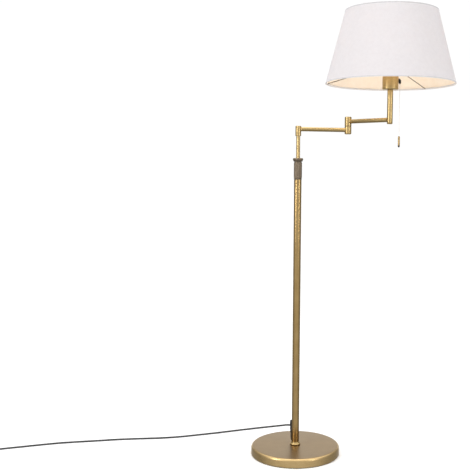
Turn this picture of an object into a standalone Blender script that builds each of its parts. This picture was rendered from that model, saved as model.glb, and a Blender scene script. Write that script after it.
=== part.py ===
"""A pharmacy floor lamp: round weighted base, telescoping pole, two-piece swing arm and a drum shade.

Metres, +Z up. The origin is on the floor, on the pole's axis. At rest the arm reaches towards +X.
"""

import math

import bmesh
import bpy
from mathutils import Matrix, Vector

GAP = 0.0003  # between pieces that touch or run in each other

# Base
BASE_RADIUS = 0.125
BASE_HEIGHT = 0.0256
BASE_SHOULDER = 0.006  # radius of the cover's rounded top edge
COVER_WALL = 0.0012
PAD_THICKNESS = 0.002
NIPPLE_RADIUS = 0.005
NIPPLE_ENDS = (0.0035, 0.046)
INSERT_TOP = 0.05  # of the threaded plug in the pole's foot
WASHER_THICKNESS = 0.0015
NUT_HEIGHT = 0.0075
NUT_ACROSS_FLATS = 0.017
NUT_POCKET_TOP = 0.015

# Pole and height lock
POLE_RADIUS = 0.0105
POLE_WALL = 0.0015
COLLAR_BOTTOM = 0.7773
COLLAR_RING_BOTTOM = 0.8265
COLLAR_TOP = 0.8364
COLLAR_RADIUS = 0.0116
COLLAR_BORE = 0.0085
COLLAR_RIBS = 14
RIB_DEPTH = 0.0009
COLLAR_RING_RADIUS = 0.0143
BUSH_BOTTOM = 0.752  # the guide bush in the pole, and the neck above it
BUSH_TOP = 0.815
NECK_RADIUS = 0.0082
INNER_RADIUS = 0.0055
INNER_WALL = 0.0009
INNER_FOOT = 0.42  # lower end of the inner tube, at rest
INNER_TOP = 0.8956
GUIDE_LENGTH = 0.022
PLUG_DEPTH = 0.02  # how far plugs and pins go into the inner tube

# Swing arm
ELBOW_RADIUS = 0.008
ELBOW_BOTTOM = 0.897
ELBOW_TOP = 0.925
ARM_RADIUS = 0.006
ARM_1_HEIGHT = 0.916
ARM_2_HEIGHT = 0.9395
KNUCKLE = Vector((0.1385, 0.025))
KNUCKLE_RADIUS = 0.0095
KNUCKLE_BOTTOM = 0.904
KNUCKLE_SPLIT = 0.9265
KNUCKLE_TOP = 0.9527
PIN_RADIUS = 0.003  # the knuckle's
PIN_CAP = 0.0035  # solid metal left over each end of the knuckle's pin
ELBOW_PIN_RADIUS = 0.0033
ELBOW_PIN_TOP = 0.9085
SOCKET_REACH = 0.0043  # from a barrel's axis to the bottom of an arm's socket

# Head
STEM = Vector((0.245, -0.065))
STEM_RADIUS = 0.0077
STEM_BOTTOM = 0.928
STEM_CAP_HEIGHT = 0.0035
STEM_WALL = 0.0012
STEM_THREAD = 1.0  # lower end of the threads that join stem and cup
CUP_RADIUS = 0.0215
CUP_BOTTOM = 1.019
CUP_TOP = 1.075
CUP_WALL = 0.001
HOLDER_RADIUS = 0.0185
SKIRT_RADIUS = 0.0173  # the lampholder's threaded skirt
SHOULDER_HEIGHT = 1.0655  # where the skirt starts
HOLDER_TOP = 1.088
CARRIER_HEIGHT = 1.0785  # middle of the shade carrier's centre ring
SHADE_BOTTOM = 1.034
SHADE_TOP = 1.226
SHADE_BOTTOM_RADIUS = 0.174
SHADE_TOP_RADIUS = 0.1235
SHADE_WALL = 0.0012
WIRE_RADIUS = 0.0014
SPOKE_RADIUS = 0.0012
RING_LOW = SHADE_BOTTOM + WIRE_RADIUS + 0.0012  # heights of the two wire rings
RING_HIGH = SHADE_TOP - WIRE_RADIUS - 0.0012
SPOKE_ANGLES = (49.0, 169.0, -71.0)  # degrees from +X towards +Y
BULB_RADIUS = 0.03
BULB_CAP_RADIUS = 0.013
BULB_BOTTOM = 1.06
BULB_LENGTH = 0.108

# Pull switch, on the cup's +X side
PULL_OFFSET = 0.0255  # from the stem's axis
NOZZLE_HEIGHT = 1.044
NOZZLE_MOUTH = 1.0355
PULL_TOP = 1.0325
PULL_CORD_RADIUS = 0.0007
WEIGHT_RADIUS = 0.0027
WEIGHT_TOP = 0.8962
WEIGHT_BOTTOM = 0.8664

# Mains cord
CORD_RADIUS = 0.0024
RELIEF_ANGLE = 140.0  # degrees from +X towards +Y
RELIEF_TOP = 0.0926
RELIEF_BOTTOM = 0.056
RELIEF_RADIUS = 0.0042
SPIGOT_RADIUS = 0.003
SPIGOT_HEIGHT = 0.0865
CORD_ROUTE = (
    (-0.0115, 0.0096, 0.0555),
    (-0.0115, 0.0097, 0.0500),
    (-0.0113, 0.0132, 0.0400),
    (-0.0106, 0.0220, 0.0322),
    (-0.0090, 0.0355, 0.0288),
    (-0.0055, 0.0578, 0.0284),
    (-0.0025, 0.0850, 0.0284),
    (-0.0020, 0.1040, 0.0286),
    (-0.0020, 0.1200, 0.0286),
    (-0.0020, 0.1340, 0.0260),
    (-0.0020, 0.1480, 0.0192),
    (-0.0020, 0.1610, 0.0112),
    (-0.0020, 0.1750, 0.0056),
    (-0.0020, 0.1900, 0.0033),
    (-0.0020, 0.2080, 0.0026),
    (-0.0022, 0.2250, 0.0026),
    (-0.0084, 0.2406, 0.0026),
    (-0.0185, 0.2463, 0.0026),
    (-0.0315, 0.2457, 0.0026),
    (-0.0500, 0.2385, 0.0026),
    (-0.1100, 0.2160, 0.0026),
    (-0.1720, 0.1905, 0.0026),
    (-0.2310, 0.1650, 0.0026),
    (-0.2900, 0.1420, 0.0026),
    (-0.3470, 0.1210, 0.0026),
    (-0.4040, 0.1075, 0.0026),
    (-0.4630, 0.0995, 0.0026),
    (-0.5210, 0.0910, 0.0026),
    (-0.5760, 0.0785, 0.0026),
    (-0.6320, 0.0665, 0.0026),
    (-0.6880, 0.0530, 0.0026),
    (-0.7400, 0.0350, 0.0026),
    (-0.7910, 0.0160, 0.0026),
    (-0.8420, -0.0030, 0.0026),
    (-0.8700, -0.0132, 0.0026),
)
COIL_CENTRE = Vector((-0.900, 0.0124))
COIL_RADIUS = 11 * CORD_RADIUS  # to the middle of its turns
COIL_WIDTH = 7.2 * CORD_RADIUS
COIL_FLOOR = 0.0002
COIL_HEIGHT = 4.1 * CORD_RADIUS
PLUG_START = 0.062  # along Y, where the plug's tail begins
PLUG_TAIL = 0.014
PLUG_LENGTH = 0.034
PLUG_WIDTH = 0.0350
PLUG_HEIGHT = 0.0137
PLUG_PIN_RADIUS = 0.002
PLUG_PIN_LENGTH = 0.019
PLUG_PIN_SPACING = 0.0186

BRASS = (0.42, 0.27, 0.11)
BRONZE = (0.20, 0.15, 0.10)
STEEL = (0.45, 0.45, 0.44)
IRON = (0.10, 0.10, 0.10)
BLACK = (0.02, 0.02, 0.02)
PALE = (0.75, 0.73, 0.68)


def clear_scene():
    for old in list(bpy.data.objects):
        bpy.data.objects.remove(old, do_unlink=True)


def new_collection(name, helpers=False):
    made = bpy.data.collections.new(name)
    made.hide_render = helpers
    bpy.context.scene.collection.children.link(made)
    return made


def material(name, colour, roughness=0.4, metallic=0.0):
    made = bpy.data.materials.new(name)
    made.use_nodes = True
    shader = made.node_tree.nodes["Principled BSDF"]
    shader.inputs["Base Color"].default_value = (*colour, 1.0)
    shader.inputs["Roughness"].default_value = roughness
    shader.inputs["Metallic"].default_value = metallic
    return made


def brass(name):
    return material(name, BRASS, 0.34, 1.0)


def plastic(name, colour=BLACK):
    return material(name, colour, 0.5, 0.0)


def add_object(name, data, finish, location=(0, 0, 0)):
    """A new object in the lamp's collection, with its own material."""
    made = bpy.data.objects.new(name, data)
    made.location = location
    LAMP.objects.link(made)
    if finish:
        data.materials.append(finish)
    return made


def arc(centre, radius, start, end, count):
    """Points on an arc about (radius, height), from start to end in degrees; 90 is straight up."""
    points = []
    for i in range(count + 1):
        angle = math.radians(start + (end - start) * i / count)
        points.append((centre[0] + radius * math.cos(angle), centre[1] + radius * math.sin(angle)))
    return points


def smooth(mesh):
    mesh.shade_smooth()
    mesh.set_sharp_from_angle(angle=math.radians(35))


def turned(name, profile, finish, at=(0, 0, 0), steps=24, ring=False):
    """Turns (radius, height) points about Z. A ring's profile closes on itself."""
    mesh = bpy.data.meshes.new(name)
    count = len(profile)
    edges = [(i, i + 1) for i in range(count - 1)]
    if ring:
        edges.append((count - 1, 0))
    mesh.from_pydata([(r, 0.0, z) for r, z in profile], edges, [])
    made = add_object(name, mesh, finish, at)
    screw = made.modifiers.new("turn", "SCREW")
    screw.axis = "Z"
    screw.angle = math.tau
    screw.steps = steps
    screw.render_steps = steps
    screw.use_merge_vertices = True
    screw.merge_threshold = 0.00001
    screw.use_smooth_shade = True
    return made


def tube_profile(inner, outer, bottom, top):
    """A plain tube wall, outer side first, from the top down."""
    return [(outer, top), (outer, bottom), (inner, bottom), (inner, top)]


def solid_profile(radius, bottom, top, edge=0.0):
    """A plain turned bar with chamfered ends."""
    if not edge:
        return [(0, top), (radius, top), (radius, bottom), (0, bottom)]
    return [
        (0, top),
        (radius - edge, top),
        (radius, top - edge),
        (radius, bottom + edge),
        (radius - edge, bottom),
        (0, bottom),
    ]


def bar(name, start, end, radius, finish, sides=24):
    """A round bar from start to end, as a closed mesh."""
    start, end = Vector(start), Vector(end)
    along = end - start
    mesh = bpy.data.meshes.new(name)
    work = bmesh.new()
    bmesh.ops.create_cone(
        work, cap_ends=True, segments=sides, radius1=radius, radius2=radius, depth=along.length
    )
    turn = Vector((0, 0, 1)).rotation_difference(along).to_matrix().to_4x4()
    work.transform(Matrix.Translation((start + end) / 2) @ turn)
    work.to_mesh(mesh)
    work.free()
    smooth(mesh)
    return add_object(name, mesh, finish)


def wire(name, points, radius, finish):
    """A round wire through the points."""
    curve = bpy.data.curves.new(name, "CURVE")
    curve.dimensions = "3D"
    spline = curve.splines.new("POLY")
    spline.points.add(len(points) - 1)
    for point, place in zip(spline.points, points):
        point.co = (*place, 1.0)
    spline.use_smooth = True
    curve.bevel_depth = radius
    curve.bevel_resolution = 2
    curve.use_fill_caps = True
    return add_object(name, curve, finish)


def as_mesh(curve_object):
    """Turns a curve object into a mesh object of the same name, with its caps welded on."""
    name = curve_object.name
    graph = bpy.context.evaluated_depsgraph_get()
    mesh = bpy.data.meshes.new_from_object(curve_object.evaluated_get(graph))
    place = curve_object.matrix_world.copy()
    bpy.data.objects.remove(curve_object, do_unlink=True)
    work = bmesh.new()
    work.from_mesh(mesh)
    bmesh.ops.remove_doubles(work, verts=work.verts, dist=0.00001)
    work.to_mesh(mesh)
    work.free()
    made = add_object(name, mesh, None)
    made.matrix_world = place
    return made


def boolean(target, tool, operation="DIFFERENCE"):
    """Cuts target with tool, or joins tool to it. The tool becomes a hidden helper."""
    cut = target.modifiers.new(operation.lower(), "BOOLEAN")
    cut.operation = operation
    cut.solver = "EXACT"
    cut.object = tool
    for collection in list(tool.users_collection):
        collection.objects.unlink(tool)
    CUTTERS.objects.link(tool)
    tool.hide_render = True
    tool.display_type = "WIRE"


def at_angle(radius, degrees, height=0.0):
    turn = math.radians(degrees)
    return Vector((radius * math.cos(turn), radius * math.sin(turn), height))


# ---------------------------------------------------------------- base


def base_pad():
    """Felt-faced disc under the base, flat on the floor."""
    profile = solid_profile(BASE_RADIUS - 0.0035, 0.0, PAD_THICKNESS)
    turned("base_pad", profile, plastic("black_felt"), steps=48)


def base_weight():
    """Cast disc that fills the cover, with a pocket for the nut under its middle."""
    radius = BASE_RADIUS - COVER_WALL - GAP
    top = BASE_HEIGHT - COVER_WALL - GAP
    bottom = PAD_THICKNESS + GAP
    hole = NIPPLE_RADIUS + GAP
    pocket = NUT_ACROSS_FLATS / 2 * 1.45
    edge = BASE_SHOULDER - COVER_WALL + GAP
    profile = (
        [(hole, top)]
        + arc((radius - edge, top - edge), edge, 90, 0, 2)
        + [(radius, bottom), (pocket, bottom), (pocket, NUT_POCKET_TOP), (hole, NUT_POCKET_TOP)]
    )
    turned("base_weight", profile, material("cast_iron", IRON, 0.7, 1.0), steps=48, ring=True)


def base_cover():
    """Spun brass pan over the weight, with a rounded shoulder and a rolled lower edge."""
    outer, inner = BASE_SHOULDER, BASE_SHOULDER - COVER_WALL
    middle = (BASE_RADIUS - BASE_SHOULDER, BASE_HEIGHT - BASE_SHOULDER)
    hole = NIPPLE_RADIUS + GAP
    bottom = 0.001
    profile = (
        [(hole, BASE_HEIGHT)]
        + arc(middle, outer, 90, 0, 4)
        + [(BASE_RADIUS, bottom + 0.0004), (BASE_RADIUS - 0.0004, bottom)]
        + [(BASE_RADIUS - COVER_WALL, bottom)]
        + arc(middle, inner, 0, 90, 2)
        + [(hole, BASE_HEIGHT - COVER_WALL)]
    )
    turned("base_cover", profile, brass("brushed_brass_base"), steps=60, ring=True)


def foot_fixing():
    """Threaded nipple, washer and hex nut that pull the pole down on the weight."""
    steel = material("zinc_plated_steel", STEEL, 0.4, 1.0)
    turned("foot_nipple", solid_profile(NIPPLE_RADIUS, *NIPPLE_ENDS, 0.0008), steel)
    washer_top = NUT_POCKET_TOP - GAP
    washer_bottom = washer_top - WASHER_THICKNESS
    bore = NIPPLE_RADIUS + GAP
    washer = tube_profile(bore, NUT_ACROSS_FLATS * 0.66, washer_bottom, washer_top)
    turned("foot_washer", washer, material("washer_steel", STEEL, 0.4, 1.0), ring=True)
    nut_top = washer_bottom - GAP
    nut_radius = NUT_ACROSS_FLATS / math.sqrt(3)
    nut = bar(
        "foot_nut",
        (0, 0, nut_top - NUT_HEIGHT),
        (0, 0, nut_top),
        nut_radius,
        material("nut_steel", STEEL, 0.4, 1.0),
        sides=6,
    )
    nut.data.shade_flat()
    boolean(nut, bar("nut_bore", (0, 0, 0), (0, 0, 0.03), bore, None))


def pole_foot_insert():
    """Threaded plug in the pole's lower end."""
    outer = POLE_RADIUS - POLE_WALL - GAP
    profile = tube_profile(NIPPLE_RADIUS + GAP, outer, BASE_HEIGHT + 2 * GAP, INSERT_TOP)
    turned("pole_foot_insert", profile, material("insert_steel", STEEL, 0.4, 1.0), ring=True)


def foot_ferrule():
    """Turned bead that trims the joint of pole and base."""
    bore = POLE_RADIUS + GAP
    bottom = BASE_HEIGHT + GAP
    bead = 0.0022
    wide = 0.0147
    profile = (
        [(bore, bottom + 0.0085), (bore + 0.0008, bottom + 0.0085), (bore + 0.0012, bottom + 0.0078)]
        + [(bore + 0.0014, bottom + 2.4 * bead)]
        + arc((wide - bead, bottom + bead), bead, 60, -60, 4)
        + [(wide - 0.0016, bottom), (bore, bottom)]
    )
    turned("foot_ferrule", profile, brass("brass_ferrule"), steps=24, ring=True)


# ---------------------------------------------------------------- pole


def pole_tube():
    """Outer pole, drilled low on its back for the cord's strain relief."""
    bottom = BASE_HEIGHT + 2 * GAP
    profile = tube_profile(POLE_RADIUS - POLE_WALL, POLE_RADIUS, bottom, COLLAR_BOTTOM - GAP)
    pole = turned("pole_tube", profile, brass("brushed_brass_pole"), ring=True)
    start = at_angle(POLE_RADIUS / 2, RELIEF_ANGLE, SPIGOT_HEIGHT)
    end = at_angle(POLE_RADIUS * 2, RELIEF_ANGLE, SPIGOT_HEIGHT)
    boolean(pole, bar("relief_hole", start, end, SPIGOT_RADIUS + GAP, None, sides=16))


def pole_top_bush():
    """Guide bush in the pole's top, with the threaded neck that the lock collar turns on."""
    bore = INNER_RADIUS + GAP
    seat = COLLAR_BOTTOM - 3 * GAP
    inside = POLE_RADIUS - POLE_WALL - GAP
    edge = 0.0006
    profile = [
        (bore, BUSH_TOP),
        (NECK_RADIUS - edge, BUSH_TOP),
        (NECK_RADIUS, BUSH_TOP - edge),
        (NECK_RADIUS, seat + edge),
        (inside, seat),
        (inside, BUSH_BOTTOM),
        (bore, BUSH_BOTTOM),
    ]
    turned("pole_top_bush", profile, material("bush_nylon", PALE, 0.5), ring=True)


def collet():
    """Split cone that the lock collar squeezes on to the inner tube."""
    bore = INNER_RADIUS + GAP
    bottom, top = BUSH_TOP + GAP, COLLAR_RING_BOTTOM - 2 * GAP
    profile = [(bore, top), (bore + 0.0012, top), (bore + 0.0023, bottom), (bore, bottom)]
    split = turned("collet", profile, plastic("collet_nylon", PALE), ring=True)
    for degrees in (15, 135, 255):
        start = at_angle(0.0, degrees, top - 0.0015)
        end = at_angle(POLE_RADIUS, degrees, top - 0.0015)
        boolean(split, bar("collet_slot", start, end, 0.0006, None, sides=8))


def lock_collar():
    """Ribbed collar that is turned by hand to lock the height."""
    bottom, top = COLLAR_BOTTOM, COLLAR_RING_BOTTOM - GAP
    mesh = bpy.data.meshes.new("lock_collar")
    collar = add_object("lock_collar", mesh, material("brown_bronze", BRONZE, 0.45, 1.0))
    collar.location = (0, 0, bottom)
    work = bmesh.new()
    ribs = []
    per_rib = 6
    for i in range(COLLAR_RIBS * per_rib):
        turn = math.tau * i / (COLLAR_RIBS * per_rib)
        swell = abs(math.sin(turn * COLLAR_RIBS / 2)) ** 0.7
        radius = COLLAR_RADIUS - RIB_DEPTH * (1 - swell)
        ribs.append(work.verts.new((radius * math.cos(turn), radius * math.sin(turn), 0)))
    face = work.faces.new(ribs)
    raised = bmesh.ops.extrude_face_region(work, geom=[face])["geom"]
    lifted = [v for v in raised if isinstance(v, bmesh.types.BMVert)]
    bmesh.ops.translate(work, verts=lifted, vec=(0, 0, top - bottom))
    bmesh.ops.recalc_face_normals(work, faces=work.faces)
    work.to_mesh(mesh)
    work.free()
    smooth(mesh)
    cutter = bar("collar_bore", (0, 0, bottom - 0.01), (0, 0, top + 0.01), COLLAR_BORE, None)
    boolean(collar, cutter)


def collar_ring():
    """Flared ring on the collar's top."""
    ring_bore = INNER_RADIUS + 2 * GAP
    low, high, wide = COLLAR_RING_BOTTOM, COLLAR_TOP, COLLAR_RING_RADIUS
    profile = [
        (ring_bore, high),
        (wide - 0.0030, high),
        (wide - 0.0008, high - 0.0010),
        (wide, high - 0.0026),
        (wide, high - 0.0042),
        (wide - 0.0010, high - 0.0064),
        (wide - 0.0020, low + 0.0006),
        (wide - 0.0024, low),
        (ring_bore, low),
    ]
    turned("collar_ring", profile, brass("brass_collar_ring"), ring=True)


def inner_tube():
    """Telescoping tube."""
    tube = tube_profile(INNER_RADIUS - INNER_WALL, INNER_RADIUS, INNER_FOOT, INNER_TOP)
    turned("inner_tube", tube, brass("brushed_brass_inner_tube"), ring=True)


def slide_guide():
    """Nylon foot in the inner tube's lower end, which runs inside the pole."""
    bore = INNER_RADIUS - INNER_WALL - GAP
    foot_radius = POLE_RADIUS - POLE_WALL - GAP
    low = INNER_FOOT - GUIDE_LENGTH
    foot = [
        (0, INNER_FOOT + PLUG_DEPTH),
        (bore, INNER_FOOT + PLUG_DEPTH),
        (bore, INNER_FOOT - GAP),
        (foot_radius, INNER_FOOT - GAP),
        (foot_radius, low + 0.001),
        (foot_radius - 0.001, low),
        (0, low),
    ]
    turned("slide_guide", foot, plastic("guide_nylon", PALE))


def elbow_pin():
    """Swivel pin in the inner tube's upper end, with the washer that the elbow turns on."""
    bore = INNER_RADIUS - INNER_WALL - GAP
    pin = [
        (0, ELBOW_PIN_TOP),
        (ELBOW_PIN_RADIUS, ELBOW_PIN_TOP),
        (ELBOW_PIN_RADIUS, INNER_TOP + GAP),
        (bore, INNER_TOP + GAP),
        (bore, INNER_TOP - PLUG_DEPTH),
        (0, INNER_TOP - PLUG_DEPTH),
    ]
    turned("elbow_pin", pin, material("pin_steel", STEEL, 0.3, 1.0))
    hole = ELBOW_PIN_RADIUS + GAP
    washer = tube_profile(hole, ELBOW_RADIUS - 0.0018, INNER_TOP + 2 * GAP, ELBOW_BOTTOM - GAP)
    turned("elbow_washer", washer, brass("brass_washer"), ring=True)


# ---------------------------------------------------------------- swing arm


def socket(name, axis, towards, height, reach):
    """Cutter for an arm's socket in a barrel: from near the barrel's axis outwards."""
    direction = (towards - axis).normalized().to_3d()
    start = axis.to_3d() + direction * reach + Vector((0, 0, height))
    end = start + direction * 0.03
    return bar(name, start, end, ARM_RADIUS + GAP, None)


def arm_rod(name, start_axis, end_axis, height, start_gap, end_gap):
    """Straight rod between two barrels' axes, its ends inside their sockets."""
    direction = (end_axis - start_axis).normalized().to_3d()
    lift = Vector((0, 0, height))
    start = start_axis.to_3d() + direction * start_gap + lift
    end = end_axis.to_3d() - direction * end_gap + lift
    return bar(name, start, end, ARM_RADIUS, brass("brushed_" + name), sides=24)


def elbow_head():
    """Turned head on the inner tube that carries the first arm."""
    bottom, top, radius = ELBOW_BOTTOM, ELBOW_TOP, ELBOW_RADIUS
    round_off, edge = 0.0025, 0.0008
    hole = ELBOW_PIN_RADIUS + GAP
    profile = (
        [(0, top)]
        + arc((radius - round_off, top - round_off), round_off, 90, 0, 4)
        + [(radius, bottom + edge), (radius - edge, bottom), (hole, bottom)]
        + [(hole, ELBOW_PIN_TOP + GAP), (0, ELBOW_PIN_TOP + GAP)]
    )
    elbow = turned("elbow_head", profile, brass("brass_elbow"))
    boolean(elbow, socket("elbow_socket", Vector((0, 0)), KNUCKLE, ARM_1_HEIGHT, 0.001))


def knuckle():
    """Two barrels that swivel on one pin, with a washer between them."""
    at = KNUCKLE.to_3d()
    edge, rim = 0.0028, 0.0005
    washer_half = 0.0004
    bore = PIN_RADIUS + GAP
    split = KNUCKLE_SPLIT
    low, high = KNUCKLE_BOTTOM, split - washer_half - GAP
    lower = [(0, low + PIN_CAP), (bore, low + PIN_CAP), (bore, high)]
    lower += [(KNUCKLE_RADIUS - rim, high), (KNUCKLE_RADIUS, high - rim)]
    lower += arc((KNUCKLE_RADIUS - edge, low + edge), edge, 0, -90, 4)
    lower += [(0, low)]
    barrel = turned("knuckle_lower", lower, brass("brass_lower_barrel"), at)
    boolean(barrel, socket("lower_socket", KNUCKLE, Vector((0, 0)), ARM_1_HEIGHT, SOCKET_REACH))

    low, high = split + washer_half + GAP, KNUCKLE_TOP
    upper = [(0, high)]
    upper += arc((KNUCKLE_RADIUS - edge, high - edge), edge, 90, 0, 4)
    upper += [(KNUCKLE_RADIUS, low + rim), (KNUCKLE_RADIUS - rim, low), (bore, low)]
    upper += [(bore, high - PIN_CAP), (0, high - PIN_CAP)]
    barrel = turned("knuckle_upper", upper, brass("brass_upper_barrel"), at)
    boolean(barrel, socket("upper_socket", KNUCKLE, STEM, ARM_2_HEIGHT, SOCKET_REACH))

    wide = KNUCKLE_RADIUS - rim
    washer = tube_profile(bore, wide, split - washer_half, split + washer_half)
    finish = material("washer_bronze", BRONZE, 0.5, 1.0)
    turned("knuckle_washer", washer, finish, at, ring=True)
    cap = PIN_CAP + GAP
    pin = solid_profile(PIN_RADIUS, KNUCKLE_BOTTOM + cap, KNUCKLE_TOP - cap, 0.0004)
    turned("knuckle_pin", pin, material("knuckle_steel", STEEL, 0.3, 1.0), at)


def swing_arms():
    """The two rods. The first meets the elbow and the lower barrel, the second the upper and the stem."""
    origin = Vector((0, 0))
    arm_rod("arm_1_rod", origin, KNUCKLE, ARM_1_HEIGHT, 0.0013, SOCKET_REACH + GAP)
    arm_rod("arm_2_rod", KNUCKLE, STEM, ARM_2_HEIGHT, SOCKET_REACH + GAP, SOCKET_REACH + GAP)


# ---------------------------------------------------------------- head


def stem():
    """Upright tube on the second arm's end, with a turned cap below and a threaded top."""
    at = STEM.to_3d()
    cap_top = STEM_BOTTOM + STEM_CAP_HEIGHT
    bore = STEM_RADIUS - STEM_WALL
    tube = turned(
        "stem_tube",
        tube_profile(bore, STEM_RADIUS, cap_top + GAP, CUP_BOTTOM - GAP),
        brass("brushed_brass_stem"),
        at,
        ring=True,
    )
    boolean(tube, socket("stem_socket", STEM, KNUCKLE, ARM_2_HEIGHT, 0.002))
    edge = 0.0012
    spigot = cap_top + edge
    cap = (
        [(0, spigot), (bore - GAP, spigot), (bore - GAP, cap_top)]
        + [(STEM_RADIUS, cap_top)]
        + arc((STEM_RADIUS - edge, STEM_BOTTOM + edge), edge, 0, -90, 3)
        + [(0, STEM_BOTTOM)]
    )
    turned("stem_cap", cap, brass("brass_stem_cap"), at)
    nipple = tube_profile(NIPPLE_RADIUS - 0.0015, NIPPLE_RADIUS, STEM_THREAD, CUP_BOTTOM + 0.007)
    turned("stem_nipple", nipple, material("nipple_steel", STEEL, 0.4, 1.0), at, 24, True)
    insert = tube_profile(NIPPLE_RADIUS + GAP, bore - GAP, STEM_THREAD, CUP_BOTTOM - 2 * GAP)
    turned("stem_insert", insert, material("stem_insert_steel", STEEL, 0.4, 1.0), at, 24, True)


def holder_cup():
    """Brass cup that hides the lampholder and its pull switch."""
    at = STEM.to_3d()
    edge = 0.0018
    inner_edge = edge - CUP_WALL
    middle = (CUP_RADIUS - edge, CUP_BOTTOM + edge)
    hole = NIPPLE_RADIUS + GAP
    profile = (
        [(CUP_RADIUS - CUP_WALL, CUP_TOP), (CUP_RADIUS, CUP_TOP)]
        + arc(middle, edge, 0, -90, 4)
        + [(hole, CUP_BOTTOM), (hole, CUP_BOTTOM + CUP_WALL)]
        + arc(middle, inner_edge, -90, 0, 2)
    )
    cup = turned("holder_cup", profile, brass("brushed_brass_cup"), at, 32, True)
    start = Vector((STEM.x + 0.015, STEM.y, NOZZLE_HEIGHT))
    end = start + Vector((0.02, 0, 0))
    boolean(cup, bar("nozzle_hole", start, end, 0.0035 + GAP, None, sides=16))


def lampholder():
    """Moulded lampholder with a threaded skirt, the nut that clamps the shade, and a contact well."""
    at = STEM.to_3d()
    well = BULB_CAP_RADIUS + 2 * GAP
    bottom = CUP_BOTTOM + CUP_WALL + 0.008
    profile = [
        (well, HOLDER_TOP),
        (SKIRT_RADIUS, HOLDER_TOP),
        (SKIRT_RADIUS, SHOULDER_HEIGHT + 0.0005),
        (HOLDER_RADIUS, SHOULDER_HEIGHT),
        (HOLDER_RADIUS, bottom + 0.001),
        (HOLDER_RADIUS - 0.001, bottom),
        (NIPPLE_RADIUS + GAP, bottom),
        (NIPPLE_RADIUS + GAP, BULB_BOTTOM - 0.002),
        (well, BULB_BOTTOM - 0.002),
    ]
    turned("lampholder", profile, plastic("phenolic_lampholder", PALE), at, 24, True)
    bore = SKIRT_RADIUS + GAP
    nut = [
        (bore, CARRIER_HEIGHT + 0.0055),
        (bore + 0.0028, CARRIER_HEIGHT + 0.0055),
        (bore + 0.0036, CARRIER_HEIGHT + 0.0047),
        (bore + 0.0036, CARRIER_HEIGHT + 0.0016),
        (bore, CARRIER_HEIGHT + 0.0016),
    ]
    turned("shade_ring_nut", nut, plastic("phenolic_ring_nut", PALE), at, 24, True)


def bulb():
    """Frosted bulb with a screw cap and a foot contact."""
    at = STEM.to_3d()
    top = BULB_BOTTOM + BULB_LENGTH
    centre = top - BULB_RADIUS
    cap = BULB_CAP_RADIUS
    neck = BULB_BOTTOM + 0.03
    profile = (
        [(0, top)]
        + arc((0, centre), BULB_RADIUS, 76, -32, 8)
        + [(0.0185, centre - 0.0275), (0.0152, neck + 0.004), (0.0148, neck)]
        + [(cap, neck - 0.0008), (cap, BULB_BOTTOM + 0.006), (0.0055, BULB_BOTTOM + 0.0015)]
        + [(0.005, BULB_BOTTOM), (0, BULB_BOTTOM)]
    )
    turned("bulb", profile, material("frosted_glass", (0.95, 0.93, 0.85), 0.4), at, 24)


def shade_line(height):
    """Radius of the shade's outside at a height."""
    share = (height - SHADE_BOTTOM) / (SHADE_TOP - SHADE_BOTTOM)
    return SHADE_BOTTOM_RADIUS + (SHADE_TOP_RADIUS - SHADE_BOTTOM_RADIUS) * share


def shade_skin():
    """Stiff fabric cone, open above and below."""
    profile = [
        (SHADE_TOP_RADIUS, SHADE_TOP),
        (SHADE_BOTTOM_RADIUS, SHADE_BOTTOM),
        (SHADE_BOTTOM_RADIUS - SHADE_WALL, SHADE_BOTTOM),
        (SHADE_TOP_RADIUS - SHADE_WALL, SHADE_TOP),
    ]
    finish = material("white_shade_fabric", (0.85, 0.84, 0.82), 0.9)
    turned("shade_skin", profile, finish, STEM.to_3d(), 72, True)


def ring_place(height):
    """Radius of a wire ring that lies inside the skin at a height."""
    slope = math.hypot(1, (SHADE_BOTTOM_RADIUS - SHADE_TOP_RADIUS) / (SHADE_TOP - SHADE_BOTTOM))
    return shade_line(height) - SHADE_WALL - (GAP + WIRE_RADIUS) * slope


def wire_ring(name, height, steps, finish):
    """Turned ring of round wire inside the skin."""
    section = arc((ring_place(height), height), WIRE_RADIUS, 90, -270, 6)[:-1]
    return turned(name, section, finish, STEM.to_3d(), steps, True)


def shade_carrier():
    """Flat ring that the lampholder clamps, with three spokes down to the bottom wire."""
    bore = SKIRT_RADIUS + GAP
    half = SPOKE_RADIUS * 0.8
    hub = tube_profile(bore, bore + 0.006, CARRIER_HEIGHT - half, CARRIER_HEIGHT + half)
    finish = material("spoke_wire", STEEL, 0.5)
    frame = turned("shade_carrier", hub, finish, STEM.to_3d(), 24, True)
    for degrees in SPOKE_ANGLES:
        start = STEM.to_3d() + at_angle(bore + 0.0045, degrees, CARRIER_HEIGHT)
        wire_at = STEM.to_3d() + at_angle(ring_place(RING_LOW), degrees, RING_LOW)
        end = wire_at + (start - wire_at).normalized() * (WIRE_RADIUS + GAP)
        boolean(frame, bar("carrier_spoke", start, end, SPOKE_RADIUS, None, 8), "UNION")


def shade_rings():
    """Wire rings inside the skin's two hems. The spokes are welded to the lower one."""
    wire_ring("shade_bottom_ring", RING_LOW, 54, material("lower_ring_wire", STEEL, 0.5))
    wire_ring("shade_top_ring", RING_HIGH, 48, material("upper_ring_wire", STEEL, 0.5))


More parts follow.
